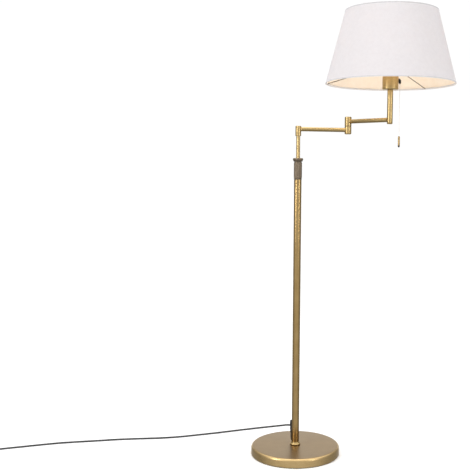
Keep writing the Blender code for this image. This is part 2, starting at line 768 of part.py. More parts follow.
def pull_switch():
    """Black nozzle on the cup, the bead in its mouth, the cord and the brass weight."""
    x, y = STEM.x + PULL_OFFSET, STEM.y
    black = plastic("black_nozzle")
    start = Vector((STEM.x + HOLDER_RADIUS + 2 * GAP, y, NOZZLE_HEIGHT))
    nozzle = bar("switch_nozzle", start, (x + 0.0012, y, NOZZLE_HEIGHT), 0.0035, black, 16)
    neck = Vector((STEM.x + CUP_RADIUS + GAP, y, NOZZLE_HEIGHT))
    boolean(nozzle, bar("nozzle_boss", neck, neck + Vector((0.0042, 0, 0)), 0.005, None, 16), "UNION")
    drop = bar(
        "nozzle_drop", (x, y, NOZZLE_MOUTH), (x, y, NOZZLE_HEIGHT + 0.0015), 0.0031, None, 16
    )
    boolean(nozzle, drop, "UNION")
    boolean(nozzle, bar("nozzle_bore", (x, y, 1.0), (x, y, NOZZLE_HEIGHT - 0.001), 0.0018, None, 12))

    bead_top = NOZZLE_MOUTH + 0.005
    bead = solid_profile(0.0013, PULL_TOP + GAP, bead_top, 0.0004)
    turned("pull_bead", bead, material("nickel_bead", STEEL, 0.3, 1.0), (x, y, 0), 12)
    cord_low = WEIGHT_TOP + GAP
    cord = [
        (0, PULL_TOP),
        (PULL_CORD_RADIUS * 0.3, PULL_TOP),
        (PULL_CORD_RADIUS, PULL_TOP - 0.001),
        (PULL_CORD_RADIUS, cord_low),
        (0, cord_low),
    ]
    turned("pull_cord", cord, plastic("white_pull_cord", (0.7, 0.68, 0.64)), (x, y, 0), 10)
    tip = 0.0024
    weight = (
        [(0, WEIGHT_TOP), (WEIGHT_RADIUS * 0.55, WEIGHT_TOP)]
        + [(WEIGHT_RADIUS, WEIGHT_TOP - 0.0012), (WEIGHT_RADIUS, WEIGHT_BOTTOM + tip)]
        + [(WEIGHT_RADIUS * 0.72, WEIGHT_BOTTOM + 0.0006), (WEIGHT_RADIUS * 0.5, WEIGHT_BOTTOM)]
        + [(0, WEIGHT_BOTTOM)]
    )
    turned("pull_weight", weight, brass("brass_pull_weight"), (x, y, 0), 20)


# ---------------------------------------------------------------- mains cord


def strain_relief():
    """Moulded sleeve down the pole's back, held by a spigot through the pole's wall."""
    away = POLE_RADIUS + GAP + RELIEF_RADIUS
    place = at_angle(away, RELIEF_ANGLE)
    narrow = CORD_RADIUS + 0.0009
    profile = [
        (0, RELIEF_TOP),
        (RELIEF_RADIUS * 0.55, RELIEF_TOP),
        (RELIEF_RADIUS * 0.85, RELIEF_TOP - 0.0012),
        (RELIEF_RADIUS, RELIEF_TOP - 0.004),
        (RELIEF_RADIUS, RELIEF_TOP - 0.013),
        (narrow, RELIEF_BOTTOM + 0.0008),
        (narrow - 0.0006, RELIEF_BOTTOM),
        (0, RELIEF_BOTTOM),
    ]
    sleeve = turned("strain_relief", profile, plastic("black_strain_relief"), place, 20)
    start = at_angle(POLE_RADIUS - POLE_WALL - 0.0025, RELIEF_ANGLE, SPIGOT_HEIGHT)
    end = at_angle(away, RELIEF_ANGLE, SPIGOT_HEIGHT)
    boolean(sleeve, bar("relief_spigot", start, end, SPIGOT_RADIUS, None, 14), "UNION")


def through(points, spacing):
    """Points on a smooth curve through the given ones, about a spacing apart."""
    ends = [points[0] * 2 - points[1], *points, points[-1] * 2 - points[-2]]
    line = [points[0]]
    for a, b, c, d in zip(ends, ends[1:], ends[2:], ends[3:]):
        steps = max(1, round((c - b).length / spacing))
        for i in range(1, steps + 1):
            t = i / steps
            line.append(
                0.5
                * (2 * b + (c - a) * t + (2 * a - 5 * b + 4 * c - d) * t**2)
                + 0.5 * (3 * b - a - 3 * c + d) * t**3
            )
    return line


def mains_cord():
    """The cord as it lies, from the strain relief over the base and along the floor to its coil."""
    route = [Vector(point) for point in CORD_ROUTE]
    line = through(route, 8 * CORD_RADIUS)
    wire("mains_cord", line, CORD_RADIUS, plastic("black_cord"))


def cord_coil():
    """The rest of the cord, wound flat on the floor, as one ring of its outer shape."""
    inner = COIL_RADIUS - COIL_WIDTH / 2
    outer = COIL_RADIUS + COIL_WIDTH / 2
    low, high = COIL_FLOOR, COIL_FLOOR + COIL_HEIGHT
    edge = CORD_RADIUS * 0.8
    profile = (
        arc((outer - edge, high - edge), edge, 90, 0, 2)
        + arc((outer - edge, low + edge), edge, 0, -90, 2)
        + arc((inner + edge, low + edge), edge, 270, 180, 2)
        + arc((inner + edge, high - edge), edge, 180, 90, 2)
    )
    turned("cord_coil", profile, plastic("black_coil"), COIL_CENTRE.to_3d(), 32, True)


def plug_line():
    """X and Z of the plug's middle line: beside the coil's far side, at its upper turns."""
    return COIL_CENTRE.x - COIL_RADIUS - 2.5 * CORD_RADIUS, PLUG_HEIGHT / 2 + COIL_FLOOR


def cord_tail():
    """Short length from the coil to the plug."""
    x, z = plug_line()
    start = COIL_CENTRE.y + 0.0195
    wire("cord_tail", [(x, start, z), (x, PLUG_START - GAP, z)], CORD_RADIUS, plastic("black_tail"))


def plug():
    """Flat two-pin plug that lies beside the coil, with a ribbed tail."""
    x, z = plug_line()
    body_start = PLUG_START + PLUG_TAIL
    body_end = body_start + PLUG_LENGTH
    half = PLUG_WIDTH / 2
    outline = [
        (x - half * 0.42, body_start),
        (x - half * 0.80, body_start + 0.007),
        (x - half * 0.97, body_start + 0.016),
        (x - half, body_end),
        (x + half, body_end),
        (x + half * 0.97, body_start + 0.016),
        (x + half * 0.80, body_start + 0.007),
        (x + half * 0.42, body_start),
    ]
    curve = bpy.data.curves.new("plug_body", "CURVE")
    curve.dimensions = "2D"
    curve.fill_mode = "BOTH"
    curve.extrude = PLUG_HEIGHT / 2
    spline = curve.splines.new("POLY")
    spline.points.add(len(outline) - 1)
    spline.use_cyclic_u = True
    for point, place in zip(spline.points, outline):
        point.co = (*place, 0, 1)
    body = add_object("plug_body", curve, plastic("black_plug"), (0, 0, z))
    bpy.context.view_layer.update()
    body = as_mesh(body)
    rounded = body.modifiers.new("round", "BEVEL")
    rounded.width = 0.0022
    rounded.segments = 2
    rounded.angle_limit = math.radians(40)
    tail = bar("plug_tail", (x, PLUG_START, z), (x, body_start + 0.004, z), 0.0042, None, 14)
    boolean(body, tail, "UNION")

    steel = material("nickel_pins", STEEL, 0.25, 1.0)
    for number, side in ((1, -1), (2, 1)):
        start = Vector((x + side * PLUG_PIN_SPACING / 2, body_end + GAP, z))
        end = start + Vector((0, PLUG_PIN_LENGTH, 0))
        bar(f"plug_pin_{number}", start, end, PLUG_PIN_RADIUS, steel, 16)


def coil_tie():
    """Strap round the coil's bundle on its near side."""
    width = 0.006
    bulge = (width / 2) ** 2 / COIL_RADIUS  # how far the round bundle leaves a straight strap
    inner = COIL_RADIUS - COIL_WIDTH / 2 - GAP - bulge
    outer = COIL_RADIUS + COIL_WIDTH / 2 + GAP
    thick = 0.0012
    high = COIL_FLOOR + COIL_HEIGHT + GAP
    middle = COIL_CENTRE.to_3d() + Vector((0, 0, high))
    mesh = bpy.data.meshes.new("coil_tie")
    tie = add_object("coil_tie", mesh, plastic("black_tie"), middle)
    section = [
        (inner - thick, -high + COIL_FLOOR),
        (inner - thick, thick),
        (outer + thick, thick),
        (outer + thick, -high + COIL_FLOOR),
        (outer, -high + COIL_FLOOR),
        (outer, 0),
        (inner, 0),
        (inner, -high + COIL_FLOOR),
    ]
    work = bmesh.new()
    face = work.faces.new([work.verts.new((-width / 2, y, z)) for y, z in section])
    swept = bmesh.ops.extrude_face_region(work, geom=[face])["geom"]
    moved = [v for v in swept if isinstance(v, bmesh.types.BMVert)]
    bmesh.ops.translate(work, verts=moved, vec=(width, 0, 0))
    bmesh.ops.recalc_face_normals(work, faces=work.faces)
    work.to_mesh(mesh)
    work.free()


clear_scene()
LAMP = new_collection("pharmacy_floor_lamp")
CUTTERS = new_collection("cutters", helpers=True)
base_pad()
base_weight()
base_cover()
foot_fixing()
pole_foot_insert()
foot_ferrule()
pole_tube()
pole_top_bush()
collet()
lock_collar()
collar_ring()
inner_tube()
slide_guide()
elbow_pin()
elbow_head()
knuckle()
swing_arms()
stem()
holder_cup()
lampholder()
bulb()
shade_skin()
shade_carrier()
shade_rings()
pull_switch()
strain_relief()
mains_cord()
cord_coil()
cord_tail()
plug()
coil_tie()
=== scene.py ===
# %% [markdown]
# # A pharmacy floor lamp in brushed brass
#
# This script dresses a lamp whose frame is already engineered: every body, joint and size comes
# from that frame. Here each visible piece gets its fine shape and its finish. The order is the
# camera, the mains cord, the metals, the base, the pole, the arms, the head and the studio.

# %% Load the frame
import math
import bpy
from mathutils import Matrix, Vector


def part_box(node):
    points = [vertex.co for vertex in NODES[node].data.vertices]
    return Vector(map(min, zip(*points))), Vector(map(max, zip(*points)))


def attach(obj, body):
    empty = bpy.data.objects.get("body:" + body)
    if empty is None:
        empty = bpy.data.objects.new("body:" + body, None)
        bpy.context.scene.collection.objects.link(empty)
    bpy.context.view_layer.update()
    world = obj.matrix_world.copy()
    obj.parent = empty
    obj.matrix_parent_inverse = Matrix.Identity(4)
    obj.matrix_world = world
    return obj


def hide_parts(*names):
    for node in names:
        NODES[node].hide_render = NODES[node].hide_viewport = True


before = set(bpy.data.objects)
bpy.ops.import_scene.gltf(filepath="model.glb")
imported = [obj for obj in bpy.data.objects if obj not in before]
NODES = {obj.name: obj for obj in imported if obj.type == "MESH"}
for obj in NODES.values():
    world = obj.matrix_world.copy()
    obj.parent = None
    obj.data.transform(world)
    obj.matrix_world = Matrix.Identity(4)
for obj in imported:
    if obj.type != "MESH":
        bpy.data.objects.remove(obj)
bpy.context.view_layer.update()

from types import SimpleNamespace

import bmesh
import bpy
from mathutils import Matrix, Vector

MM = 0.001

# %% [markdown]
# A turned piece is known by its axis, its radius and its two ends. All of them can be read from
# the box of the frame's own node, so no size is typed twice.

# %% Read a turned piece's size from the frame


def size_of(node):
    """Axis, radius and ends of an upright turned node."""
    low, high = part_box(node)
    return SimpleNamespace(
        x=(low[0] + high[0]) / 2,
        y=(low[1] + high[1]) / 2,
        r=(high[0] - low[0]) / 2,
        low=low[2],
        high=high[2],
    )


POLE = size_of("pole_tube")
CUP = size_of("holder_cup")
HEAD = Vector((CUP.x, CUP.y, 0))
AXIS = Vector((0, 0, 0))
print(f"pole {2000 * POLE.r:.1f} mm thick, head axis at {CUP.x:.3f}, {CUP.y:.3f}")

# %% [markdown]
# ## The camera
#
# A long lens from a little above the arm's height, tipped down by four and a half degrees, with a
# trace of roll. The lens is shifted sideways, because the lamp stands right of the middle and its
# cord runs out to the left. It could also be framed by turning the camera, but that would slant the
# pole and widen one side of the shade.

# %% Place the camera
CAMERA_AT = (0.0158, -2.2296, 0.795)
CAMERA_DOWN = 4.42
CAMERA_YAW = 0.21
CAMERA_ROLL = -0.584
LENS = 61.4
SHIFT_LEFT = -0.1383


def add_camera():
    data = bpy.data.cameras.new("studio_camera")
    data.lens = LENS
    data.sensor_width = 36.0
    data.shift_x = SHIFT_LEFT
    camera = bpy.data.objects.new("studio_camera", data)
    tilt = Matrix.Rotation(math.radians(90 - CAMERA_DOWN), 4, "X")
    roll = Matrix.Rotation(math.radians(-CAMERA_ROLL), 4, "Z")
    yaw = Matrix.Rotation(math.radians(CAMERA_YAW), 4, "Z")
    camera.matrix_world = Matrix.Translation(CAMERA_AT) @ yaw @ tilt @ roll
    bpy.context.scene.collection.objects.link(camera)
    bpy.context.scene.camera = camera


add_camera()
print("camera", LENS, "mm")

# %% [markdown]
# ## Tools for finishes
#
# A finish is a small graph of nodes around one Principled shader. One function adds any node with
# its settings and its links, and another turns the sRGB hex colours that painters use into the
# linear colours that a renderer needs. A third hangs a pattern on the shader: the same pattern
# that tints a surface also roughens it, as real grain does.

# %% Colour and node helpers


def colour(hex_code):
    """sRGB hex to linear RGBA."""
    parts = [int(hex_code[i : i + 2], 16) / 255 for i in (1, 3, 5)]
    return (*(c / 12.92 if c <= 0.04045 else ((c + 0.055) / 1.055) ** 2.4 for c in parts), 1.0)


def add_node(tree, kind, settings=None, stops=(), **inputs):
    """Adds a node with its properties, a ramp's (place, hex) stops, and values or links."""
    made = tree.nodes.new(kind)
    for key, value in (settings or {}).items():
        setattr(made, key, value)
    for i, (place, shade) in enumerate(stops):
        elements = made.color_ramp.elements
        element = elements[i] if i < len(elements) else elements.new(place)
        element.position = place
        element.color = colour(shade)
    for key, value in inputs.items():
        socket = made.inputs[int(key[1:]) if key[1:].isdigit() else key.replace("_", " ")]
        if isinstance(value, bpy.types.NodeSocket):
            tree.links.new(value, socket)
        else:
            socket.default_value = value
    return made


def blank_finish(name, **constants):
    """A material of one Principled shader that holds its constants, and a place to start from."""
    made = bpy.data.materials.new(name)
    made.use_nodes = True
    tree = made.node_tree
    tree.nodes.clear()
    shader = add_node(tree, "ShaderNodeBsdfPrincipled", None, **constants)
    add_node(tree, "ShaderNodeOutputMaterial", None, Surface=shader.outputs[0])
    return made, tree, shader, add_node(tree, "ShaderNodeTexCoord").outputs["Object"]


def dress(tree, shader, pattern, stops, rough=None, raised=None, strength=0.5, depth_mm=0.0):
    """Tints a shader by a pattern, and if asked, roughens it too and raises its surface."""
    tone = add_node(tree, "ShaderNodeValToRGB", None, stops, Fac=pattern)
    tree.links.new(tone.outputs["Color"], shader.inputs["Base Color"])
    if rough:
        worn = add_node(
            tree, "ShaderNodeMapRange", None, Value=pattern, To_Min=rough[0], To_Max=rough[1]
        )
        tree.links.new(worn.outputs["Result"], shader.inputs["Roughness"])
    if raised:
        bump = add_node(
            tree, "ShaderNodeBump", None, Height=raised, Strength=strength, Distance=depth_mm * MM
        )
        tree.links.new(bump.outputs["Normal"], shader.inputs["Normal"])


print("finish helpers ready")

# %% [markdown]
# ## Tools for shapes
#
# Most of this lamp is turned on a lathe. A lathe piece is an outline of radii and heights, and
# real edges are never dead sharp, so each corner of the outline carries the radius that the tool or
# the polishing wheel left there. The outline is spun round its axis with bmesh. A Screw modifier
# would also do it, but a spun mesh lets the sharp edges be marked afterwards.

# %% Lathe helpers


def eased(corners):
    """Rounds each (radius, height, easing) corner of an outline with a short curve."""
    points = [Vector(c[:2]) for c in corners]
    line = []
    for i, corner in enumerate(corners):
        ease = corner[2] if len(corner) > 2 else 0.0
        if not ease or i in (0, len(corners) - 1):
            line.append(points[i])
            continue
        before = points[i - 1] - points[i]
        after = points[i + 1] - points[i]
        start = points[i] + before.normalized() * min(ease, before.length * 0.48)
        end = points[i] + after.normalized() * min(ease, after.length * 0.48)
        for step in range(6):
            t = step / 5
            line.append(start * (1 - t) ** 2 + points[i] * 2 * t * (1 - t) + end * t**2)
    return line


def mesh_of(work, name):
    """Makes a mesh of what was built in bmesh."""
    mesh = bpy.data.meshes.new(name)
    work.to_mesh(mesh)
    work.free()
    return mesh


def new_piece(name, mesh, finish, body, replaces=(), place=None):
    """A finished piece that rides on a body and stands for nodes of the frame."""
    made = bpy.data.objects.new(name, mesh)
    if place is not None:
        made.matrix_world = place
    bpy.context.scene.collection.objects.link(made)
    if finish:
        mesh.materials.append(finish)
    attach(made, body)
    if replaces:
        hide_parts(*replaces)
    return made


def shade_round(mesh, limit=32):
    mesh.shade_smooth()
    mesh.set_sharp_from_angle(angle=math.radians(limit))


def lathe(name, corners, finish, body, at=AXIS, replaces=(), steps=96, closed=False, turn=None):
    """Spins an outline about Z. A closed one makes a ring, an open one starts and ends on Z."""
    line = eased(corners)
    work = bmesh.new()
    verts = [work.verts.new((p.x, 0, p.y)) for p in line]
    edges = [work.edges.new(pair) for pair in zip(verts, verts[1:])]
    if closed:
        edges.append(work.edges.new((verts[-1], verts[0])))
    bmesh.ops.spin(
        work,
        geom=verts + edges,
        axis=(0, 0, 1),
        cent=(0, 0, 0),
        angle=math.tau,
        steps=steps,
        use_merge=True,
    )
    bmesh.ops.remove_doubles(work, verts=work.verts, dist=0.000002)
    bmesh.ops.recalc_face_normals(work, faces=work.faces)
    mesh = mesh_of(work, name)
    shade_round(mesh)
    place = Matrix.Translation(at) @ (turn or Matrix())
    return new_piece(name, mesh, finish, body, replaces, place)


def second_finish(piece, finish, wanted):
    """Gives the faces that pass a test another finish."""
    piece.data.materials.append(finish)
    for face in piece.data.polygons:
        if wanted(face):
            face.material_index = len(piece.data.materials) - 1


def tube_corners(inner, outer, low, high, ease=0.0004):
    """Outline of a plain tube with eased ends."""
    return [(inner, high), (outer, high, ease), (outer, low, ease), (inner, low)]


def pointing(direction):
    """Turns a lathe piece's axis from Z towards a direction."""
    return Vector((0, 0, 1)).rotation_difference(Vector(direction)).to_matrix().to_4x4()


def bent_wire(name, points, radius, finish, body, replaces=(), sides=5, cyclic=False):
    """A round wire or cord along points, with closed ends."""
    curve = bpy.data.curves.new(name, "CURVE")
    curve.dimensions = "3D"
    spline = curve.splines.new("POLY")
    spline.points.add(len(points) - 1)
    for point, place in zip(spline.points, points):
        point.co = (*place, 1.0)
    spline.use_cyclic_u = cyclic
    curve.bevel_depth = radius
    curve.bevel_resolution = sides
    curve.use_fill_caps = True
    guide = bpy.data.objects.new(name + "_guide", curve)
    bpy.context.scene.collection.objects.link(guide)
    graph = bpy.context.evaluated_depsgraph_get()
    mesh = bpy.data.meshes.new_from_object(guide.evaluated_get(graph))
    bpy.data.objects.remove(guide)
    bpy.data.curves.remove(curve)
    mesh.name = name
    work = bmesh.new()
    work.from_mesh(mesh)
    bmesh.ops.remove_doubles(work, verts=work.verts, dist=0.000002)
    bmesh.ops.recalc_face_normals(work, faces=work.faces)
    work.to_mesh(mesh)
    work.free()
    mesh.materials.clear()
    shade_round(mesh, 50)
    return new_piece(name, mesh, finish, body, replaces)


print("lathe helpers ready")

# %% [markdown]
# ## The mains cord
#
# The supply is a round two-core lead in black PVC, about two metres long. It leaves the pole
# through a moulded sleeve, bends down on to the base, drops off its back edge and runs away to the
# left along the floor. PVC is springy, so it keeps long slack curves and never kinks. The rest is
# wound into a storage coil with the plug beside it. A hanging-chain simulation could lay it, but
# the route is decided by where the cord was dropped, so it is drawn as one smooth line.

# %% Lay the cord
CORD_RADIUS = 2.4 * MM
ROUTE = (
    (-0.0115, 0.0096, 0.0555),
    (-0.0115, 0.0097, 0.0500),
    (-0.0113, 0.0132, 0.0400),
    (-0.0106, 0.0220, 0.0322),
    (-0.0090, 0.0355, 0.0288),
    (-0.0055, 0.0578, 0.0284),
    (-0.0025, 0.0850, 0.0284),
    (-0.0020, 0.1040, 0.0286),
    (-0.0020, 0.1200, 0.0286),
    (-0.0020, 0.1340, 0.0260),
    (-0.0020, 0.1480, 0.0192),
    (-0.0020, 0.1610, 0.0112),
    (-0.0020, 0.1750, 0.0056),
    (-0.0020, 0.1900, 0.0033),
    (-0.0020, 0.2080, 0.0026),
    (-0.0022, 0.2250, 0.0026),
    (-0.0084, 0.2406, 0.0026),
    (-0.0185, 0.2463, 0.0026),
    (-0.0315, 0.2457, 0.0026),
    (-0.0500, 0.2385, 0.0026),
    (-0.1100, 0.2160, 0.0026),
    (-0.1720, 0.1905, 0.0026),
    (-0.2310, 0.1650, 0.0026),
    (-0.2900, 0.1420, 0.0026),
    (-0.3470, 0.1210, 0.0026),
    (-0.4040, 0.1075, 0.0026),
    (-0.4630, 0.0995, 0.0026),
    (-0.5210, 0.0910, 0.0026),
    (-0.5760, 0.0785, 0.0026),
    (-0.6320, 0.0665, 0.0026),
    (-0.6880, 0.0530, 0.0026),
    (-0.7400, 0.0350, 0.0026),
    (-0.7910, 0.0160, 0.0026),
    (-0.8420, -0.0030, 0.0026),
)
COIL = size_of("cord_coil")
TAIL_LOW, TAIL_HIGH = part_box("cord_tail")
COIL_START_RADIUS = COIL.r - 1.18 * CORD_RADIUS
COIL_INNER_RADIUS = 9.0 * CORD_RADIUS
COIL_START_ANGLE = -69.6
COIL_LOWER_TURNS = 2.2
COIL_CLIMB_TURNS = 0.35
COIL_END_ANGLE = -180.0 - 4 * 360.0


def through(points, spacing):
    """Points on a smooth curve through the given ones, about a spacing apart."""
    ends = [points[0] * 2 - points[1], *points, points[-1] * 2 - points[-2]]
    line = [points[0]]
    for a, b, c, d in zip(ends, ends[1:], ends[2:], ends[3:]):
        steps = max(1, round((c - b).length / spacing))
        for i in range(1, steps + 1):
            t = i / steps
            line.append(
                0.5
                * (2 * b + (c - a) * t + (2 * a - 5 * b + 4 * c - d) * t**2)
                + 0.5 * (3 * b - a - 3 * c + d) * t**3
            )
    return line


def coil_points(per_turn=16):
    """Lower layer wound inwards, a short climb, then the upper layer wound outwards."""
    low, high = COIL.low + CORD_RADIUS, COIL.low + 3 * CORD_RADIUS
    end_radius = COIL.x - (TAIL_LOW[0] + TAIL_HIGH[0]) / 2
    sweep = COIL_END_ANGLE - COIL_START_ANGLE
    turns = abs(sweep) / 360
    climb_start, climb_end = COIL_LOWER_TURNS, COIL_LOWER_TURNS + COIL_CLIMB_TURNS
    points = []
    for i in range(round(turns * per_turn) + 1):
        turn = min(i / per_turn, turns)
        angle = math.radians(COIL_START_ANGLE - 360 * turn)
        if turn < climb_start:
            share = turn / climb_start
            radius = COIL_START_RADIUS + (COIL_INNER_RADIUS - COIL_START_RADIUS) * share
            height = low
        elif turn < climb_end:
            share = (turn - climb_start) / COIL_CLIMB_TURNS
            radius = COIL_INNER_RADIUS
            height = low + (high - low) * share * share * (3 - 2 * share)
        else:
            share = (turn - climb_end) / (turns - climb_end)
            radius = COIL_INNER_RADIUS + (end_radius - COIL_INNER_RADIUS) * share
            height = high
        points.append(
            Vector((COIL.x + radius * math.cos(angle), COIL.y + radius * math.sin(angle), height))
        )
    return points


def cord_line():
    """The whole cord, from the strain relief's mouth to the plug's tail."""
    route = [Vector(p) for p in ROUTE]
    x, z = (TAIL_LOW[0] + TAIL_HIGH[0]) / 2, (TAIL_LOW[2] + TAIL_HIGH[2]) / 2
    tail = [Vector((x, COIL.y + 0.024, z)), Vector((x, TAIL_HIGH[1], z))]
    return through(route + coil_points() + tail, 1.7 * CORD_RADIUS)


LINE = cord_line()
CORD_NODES = ("mains_cord", "cord_coil", "cord_tail")
CORD = bent_wire("supply_cord", LINE, CORD_RADIUS, None, "base", CORD_NODES, sides=4)

# %% [markdown]
# ## Black PVC and rubber
#
# The cord's jacket is extruded PVC: smooth, slightly shiny, faintly ribbed lengthwise by the cores
# inside. The sleeve and the plug are moulded, with a fine spark-eroded texture of about 0.4 mm.

# %% Black plastics


def grained(name, tones, grain_mm, rough=None, bump_mm=0.0, strength=0.5, detail=5.0, **constants):
    """A material whose colour, and if asked its roughness and height, follow one grain."""
    made, tree, shader, place = blank_finish(name, **constants)
    grain = add_node(
        tree, "ShaderNodeTexNoise", None, Vector=place, Scale=1 / (grain_mm * MM), Detail=detail
    ).outputs["Fac"]
    stops = [(0.3, tones[0]), (0.7, tones[1])]
    dress(tree, shader, grain, stops, rough, grain if bump_mm else None, strength, bump_mm)
    return made


PVC = grained(
    "extruded_black_pvc", ("#232322", "#3a3a38"), 11.1, detail=3.0, Roughness=0.42, IOR=1.5
)
RUBBER = grained(
    "moulded_black_rubber", ("#161615", "#242322"), 0.4, (0.48, 0.66), 0.05, 0.25, 2.0, IOR=1.5
)
CORD.data.materials.append(PVC)
print("black plastics ready")

# %% [markdown]
# ## Brushed brass
#
# The metal is brass that was darkened, brushed back and lacquered, which the trade calls antique
# brass. The eye gets three things from it: a warm brown-gold colour, fine parallel lines left by
# the abrasive belt, and a soft highlight stretched across those lines. Turned pieces carry rings
# round their axis, drawn tubes carry lines along it, and the spun base has circles on its top.
#
# The real lines are a few hundredths of a millimetre wide, too fine to show here, so they are drawn
# a third of a millimetre wide. Noise squeezed along one direction makes them. A wave texture could
# too, but its lines are too regular for a hand-held belt.

# %% Brass finishes
BRUSH_MM = 0.33


def brushed_brass(name, tones, stretch, rough=(0.26, 0.40), mark_mm=BRUSH_MM, spun=False):
    """Brass with brush marks. stretch is how fast they change along X, Y and Z, from 0 to 1."""
    made, tree, shader, place = blank_finish(name, Metallic=1.0, Anisotropic=0.35)
    if spun:
        flat = add_node(
            tree, "ShaderNodeVectorMath", {"operation": "MULTIPLY"}, _0=place, _1=(1.0, 1.0, 0.0)
        )
        away = add_node(tree, "ShaderNodeVectorMath", {"operation": "LENGTH"}, _0=flat.outputs[0])
        height = add_node(tree, "ShaderNodeSeparateXYZ", None, Vector=place)
        across = add_node(
            tree, "ShaderNodeCombineXYZ", None, X=away.outputs["Value"], Z=height.outputs["Z"]
        ).outputs[0]
    else:
        across = place
    scale = add_node(
        tree, "ShaderNodeVectorMath", {"operation": "MULTIPLY"}, _0=across, _1=stretch
    ).outputs[0]
    marks = add_node(
        tree, "ShaderNodeTexNoise", None, Vector=scale, Scale=1 / (mark_mm * MM), Detail=4.0
    ).outputs["Fac"]
    clouds = add_node(
        tree, "ShaderNodeTexNoise", None, Vector=place, Scale=1 / (28 * MM), Detail=3.0
    ).outputs["Fac"]
    mixed = add_node(
        tree, "ShaderNodeMix", {"data_type": "FLOAT"}, _0=0.25, _2=marks, _3=clouds
    ).outputs[0]
    stops = [(0.3, tones[0]), (0.5, tones[1]), (0.7, tones[2])]
    dress(tree, shader, mixed, stops, rough, marks, 0.1, 0.03)
    return made


# The pole and the arms are one brass. The arm tones are painted lighter than the pole's, as painted
# light from the lit shade and bulb above the arms and head.
POLE_TONES = ("#94794c", "#ab8f5f", "#bda373")
ARM_TONES_PAINTED_LIGHT = ("#a98f62", "#c0a672", "#d2b885")
TURNED_BRASS_PAINTED_LIGHT = brushed_brass("turned_brass_painted_light", ARM_TONES_PAINTED_LIGHT, (0.04, 0.04, 1.0))
DRAWN_BRASS_PAINTED_LIGHT = brushed_brass("drawn_brass_painted_light", ARM_TONES_PAINTED_LIGHT, (1.0, 1.0, 0.012), (0.22, 0.34))
POLE_BRASS = brushed_brass("drawn_pole_brass", POLE_TONES, (1.0, 1.0, 0.012), (0.18, 0.28))
# The base's top tones are painted darker, as painted shade, and its shoulder and side tones
# lighter, as painted light.
SPUN_BRASS_PAINTED_SHADE = brushed_brass(
    "spun_brass_painted_shade",
    ("#8e7757", "#9c8563", "#a99270"),
    (1.0, 0.0, 1.0),
    (0.28, 0.40),
    0.45,
    spun=True,
)
SIDE_BRASS_PAINTED_LIGHT = brushed_brass(
    "belt_brushed_brass_painted_light", ("#b09464", "#c8ab78", "#d6bb8a"), (0.04, 0.04, 1.0), (0.24, 0.34)
)
DARK_TIP = brushed_brass(
    "dark_tip_brass", ("#2f2a23", "#403930", "#52493d"), (0.2, 0.2, 1.0), (0.34, 0.5)
)
RIBBED_BRONZE = brushed_brass(
    "ribbed_brown_bronze", ("#6c5f50", "#837564", "#9a8b78"), (0.2, 0.2, 1.0), (0.34, 0.5)
)
print("brass finishes ready")

# %% [markdown]
# ## The base
#
# A heavy iron disc keeps the lamp upright, and a thin brass pan is spun over it on a lathe.
# Spinning leaves a flat top, a rounded shoulder where the highlight runs, and a lip that is rolled
# in at the bottom. The top keeps the lathe's circles, and the side is brushed on a belt. The top is
# painted a darker brown as painted shade, and the shoulder and side a lighter gold as painted
# light.
#
# A bevelled cylinder would look close, but the shoulder of spun sheet is a true quarter circle with
# a faint step where it meets the flat, so the outline is drawn with that step.

# %% Base cover, ferrule, weight and pad
BASE = size_of("base_cover")
SHOULDER = 7.5 * MM
STEP = 0.18 * MM


def quarter(centre_radius, centre_height, radius, start, end, count=10):
    """Outline points on an arc, in degrees with 90 straight up."""
    points = []
    for i in range(count + 1):
        angle = math.radians(start + (end - start) * i / count)
        points.append(
            (centre_radius + radius * math.cos(angle), centre_height + radius * math.sin(angle))
        )
    return points


def base_cover():
    wall = 1.2 * MM
    edge = BASE.r - SHOULDER
    outline = (
        [(5.4 * MM, BASE.high), (edge - 1.6 * MM, BASE.high, 0.5 * MM)]
        + [(edge - 0.9 * MM, BASE.high - STEP, 0.4 * MM)]
        + quarter(edge, BASE.high - SHOULDER - STEP / 2, SHOULDER - STEP / 2, 84, 0)
        + [(BASE.r, BASE.low + 1.4 * MM, 0.8 * MM), (BASE.r - 0.5 * MM, BASE.low, 0.3 * MM)]
        + [(BASE.r - wall, BASE.low)]
        + quarter(edge, BASE.high - SHOULDER, SHOULDER - wall, 0, 90, 5)
        + [(5.4 * MM, BASE.high - wall)]
    )
    pan = lathe(
        "base_pan", outline, SPUN_BRASS_PAINTED_SHADE, "base", AXIS, ("base_cover",), 160, closed=True
    )
    # The shoulder and side take the lighter painted-light brass, and the flat top keeps the darker
    # painted-shade brass.
    second_finish(pan, SIDE_BRASS_PAINTED_LIGHT, lambda face: face.normal.z < 0.9)


def foot_ferrule():
    ferrule = size_of("foot_ferrule")
    bead = 2.2 * MM
    bore = POLE.r + 0.1 * MM
    outline = (
        [(bore, ferrule.high), (bore + 0.8 * MM, ferrule.high, 0.25 * MM)]
        + [(bore + 1.3 * MM, ferrule.high - 1.0 * MM, 0.3 * MM)]
        + [(bore + 1.4 * MM, ferrule.low + 2.5 * bead, 0.8 * MM)]
        + quarter(ferrule.r - bead, ferrule.low + bead, bead, 62, -62, 12)
        + [(ferrule.r - 1.7 * MM, ferrule.low), (bore, ferrule.low)]
    )
    lathe(
        "pole_ferrule", outline, TURNED_BRASS_PAINTED_LIGHT, "base", AXIS, ("foot_ferrule",), closed=True
    )


base_cover()
foot_ferrule()
print(f"base {2000 * BASE.r:.0f} mm across")

# %% [markdown]
# Under the pan sit the pieces nobody sees: the iron casting, its felt disc, and the nipple, washer
# and nut that pull the pole down. They keep their engineered shape and only take a finish. Sand
# casting leaves a coarse skin of about a millimetre, felt is a mat of short curly fibres, and zinc
# plate is bright with a faint spangle.

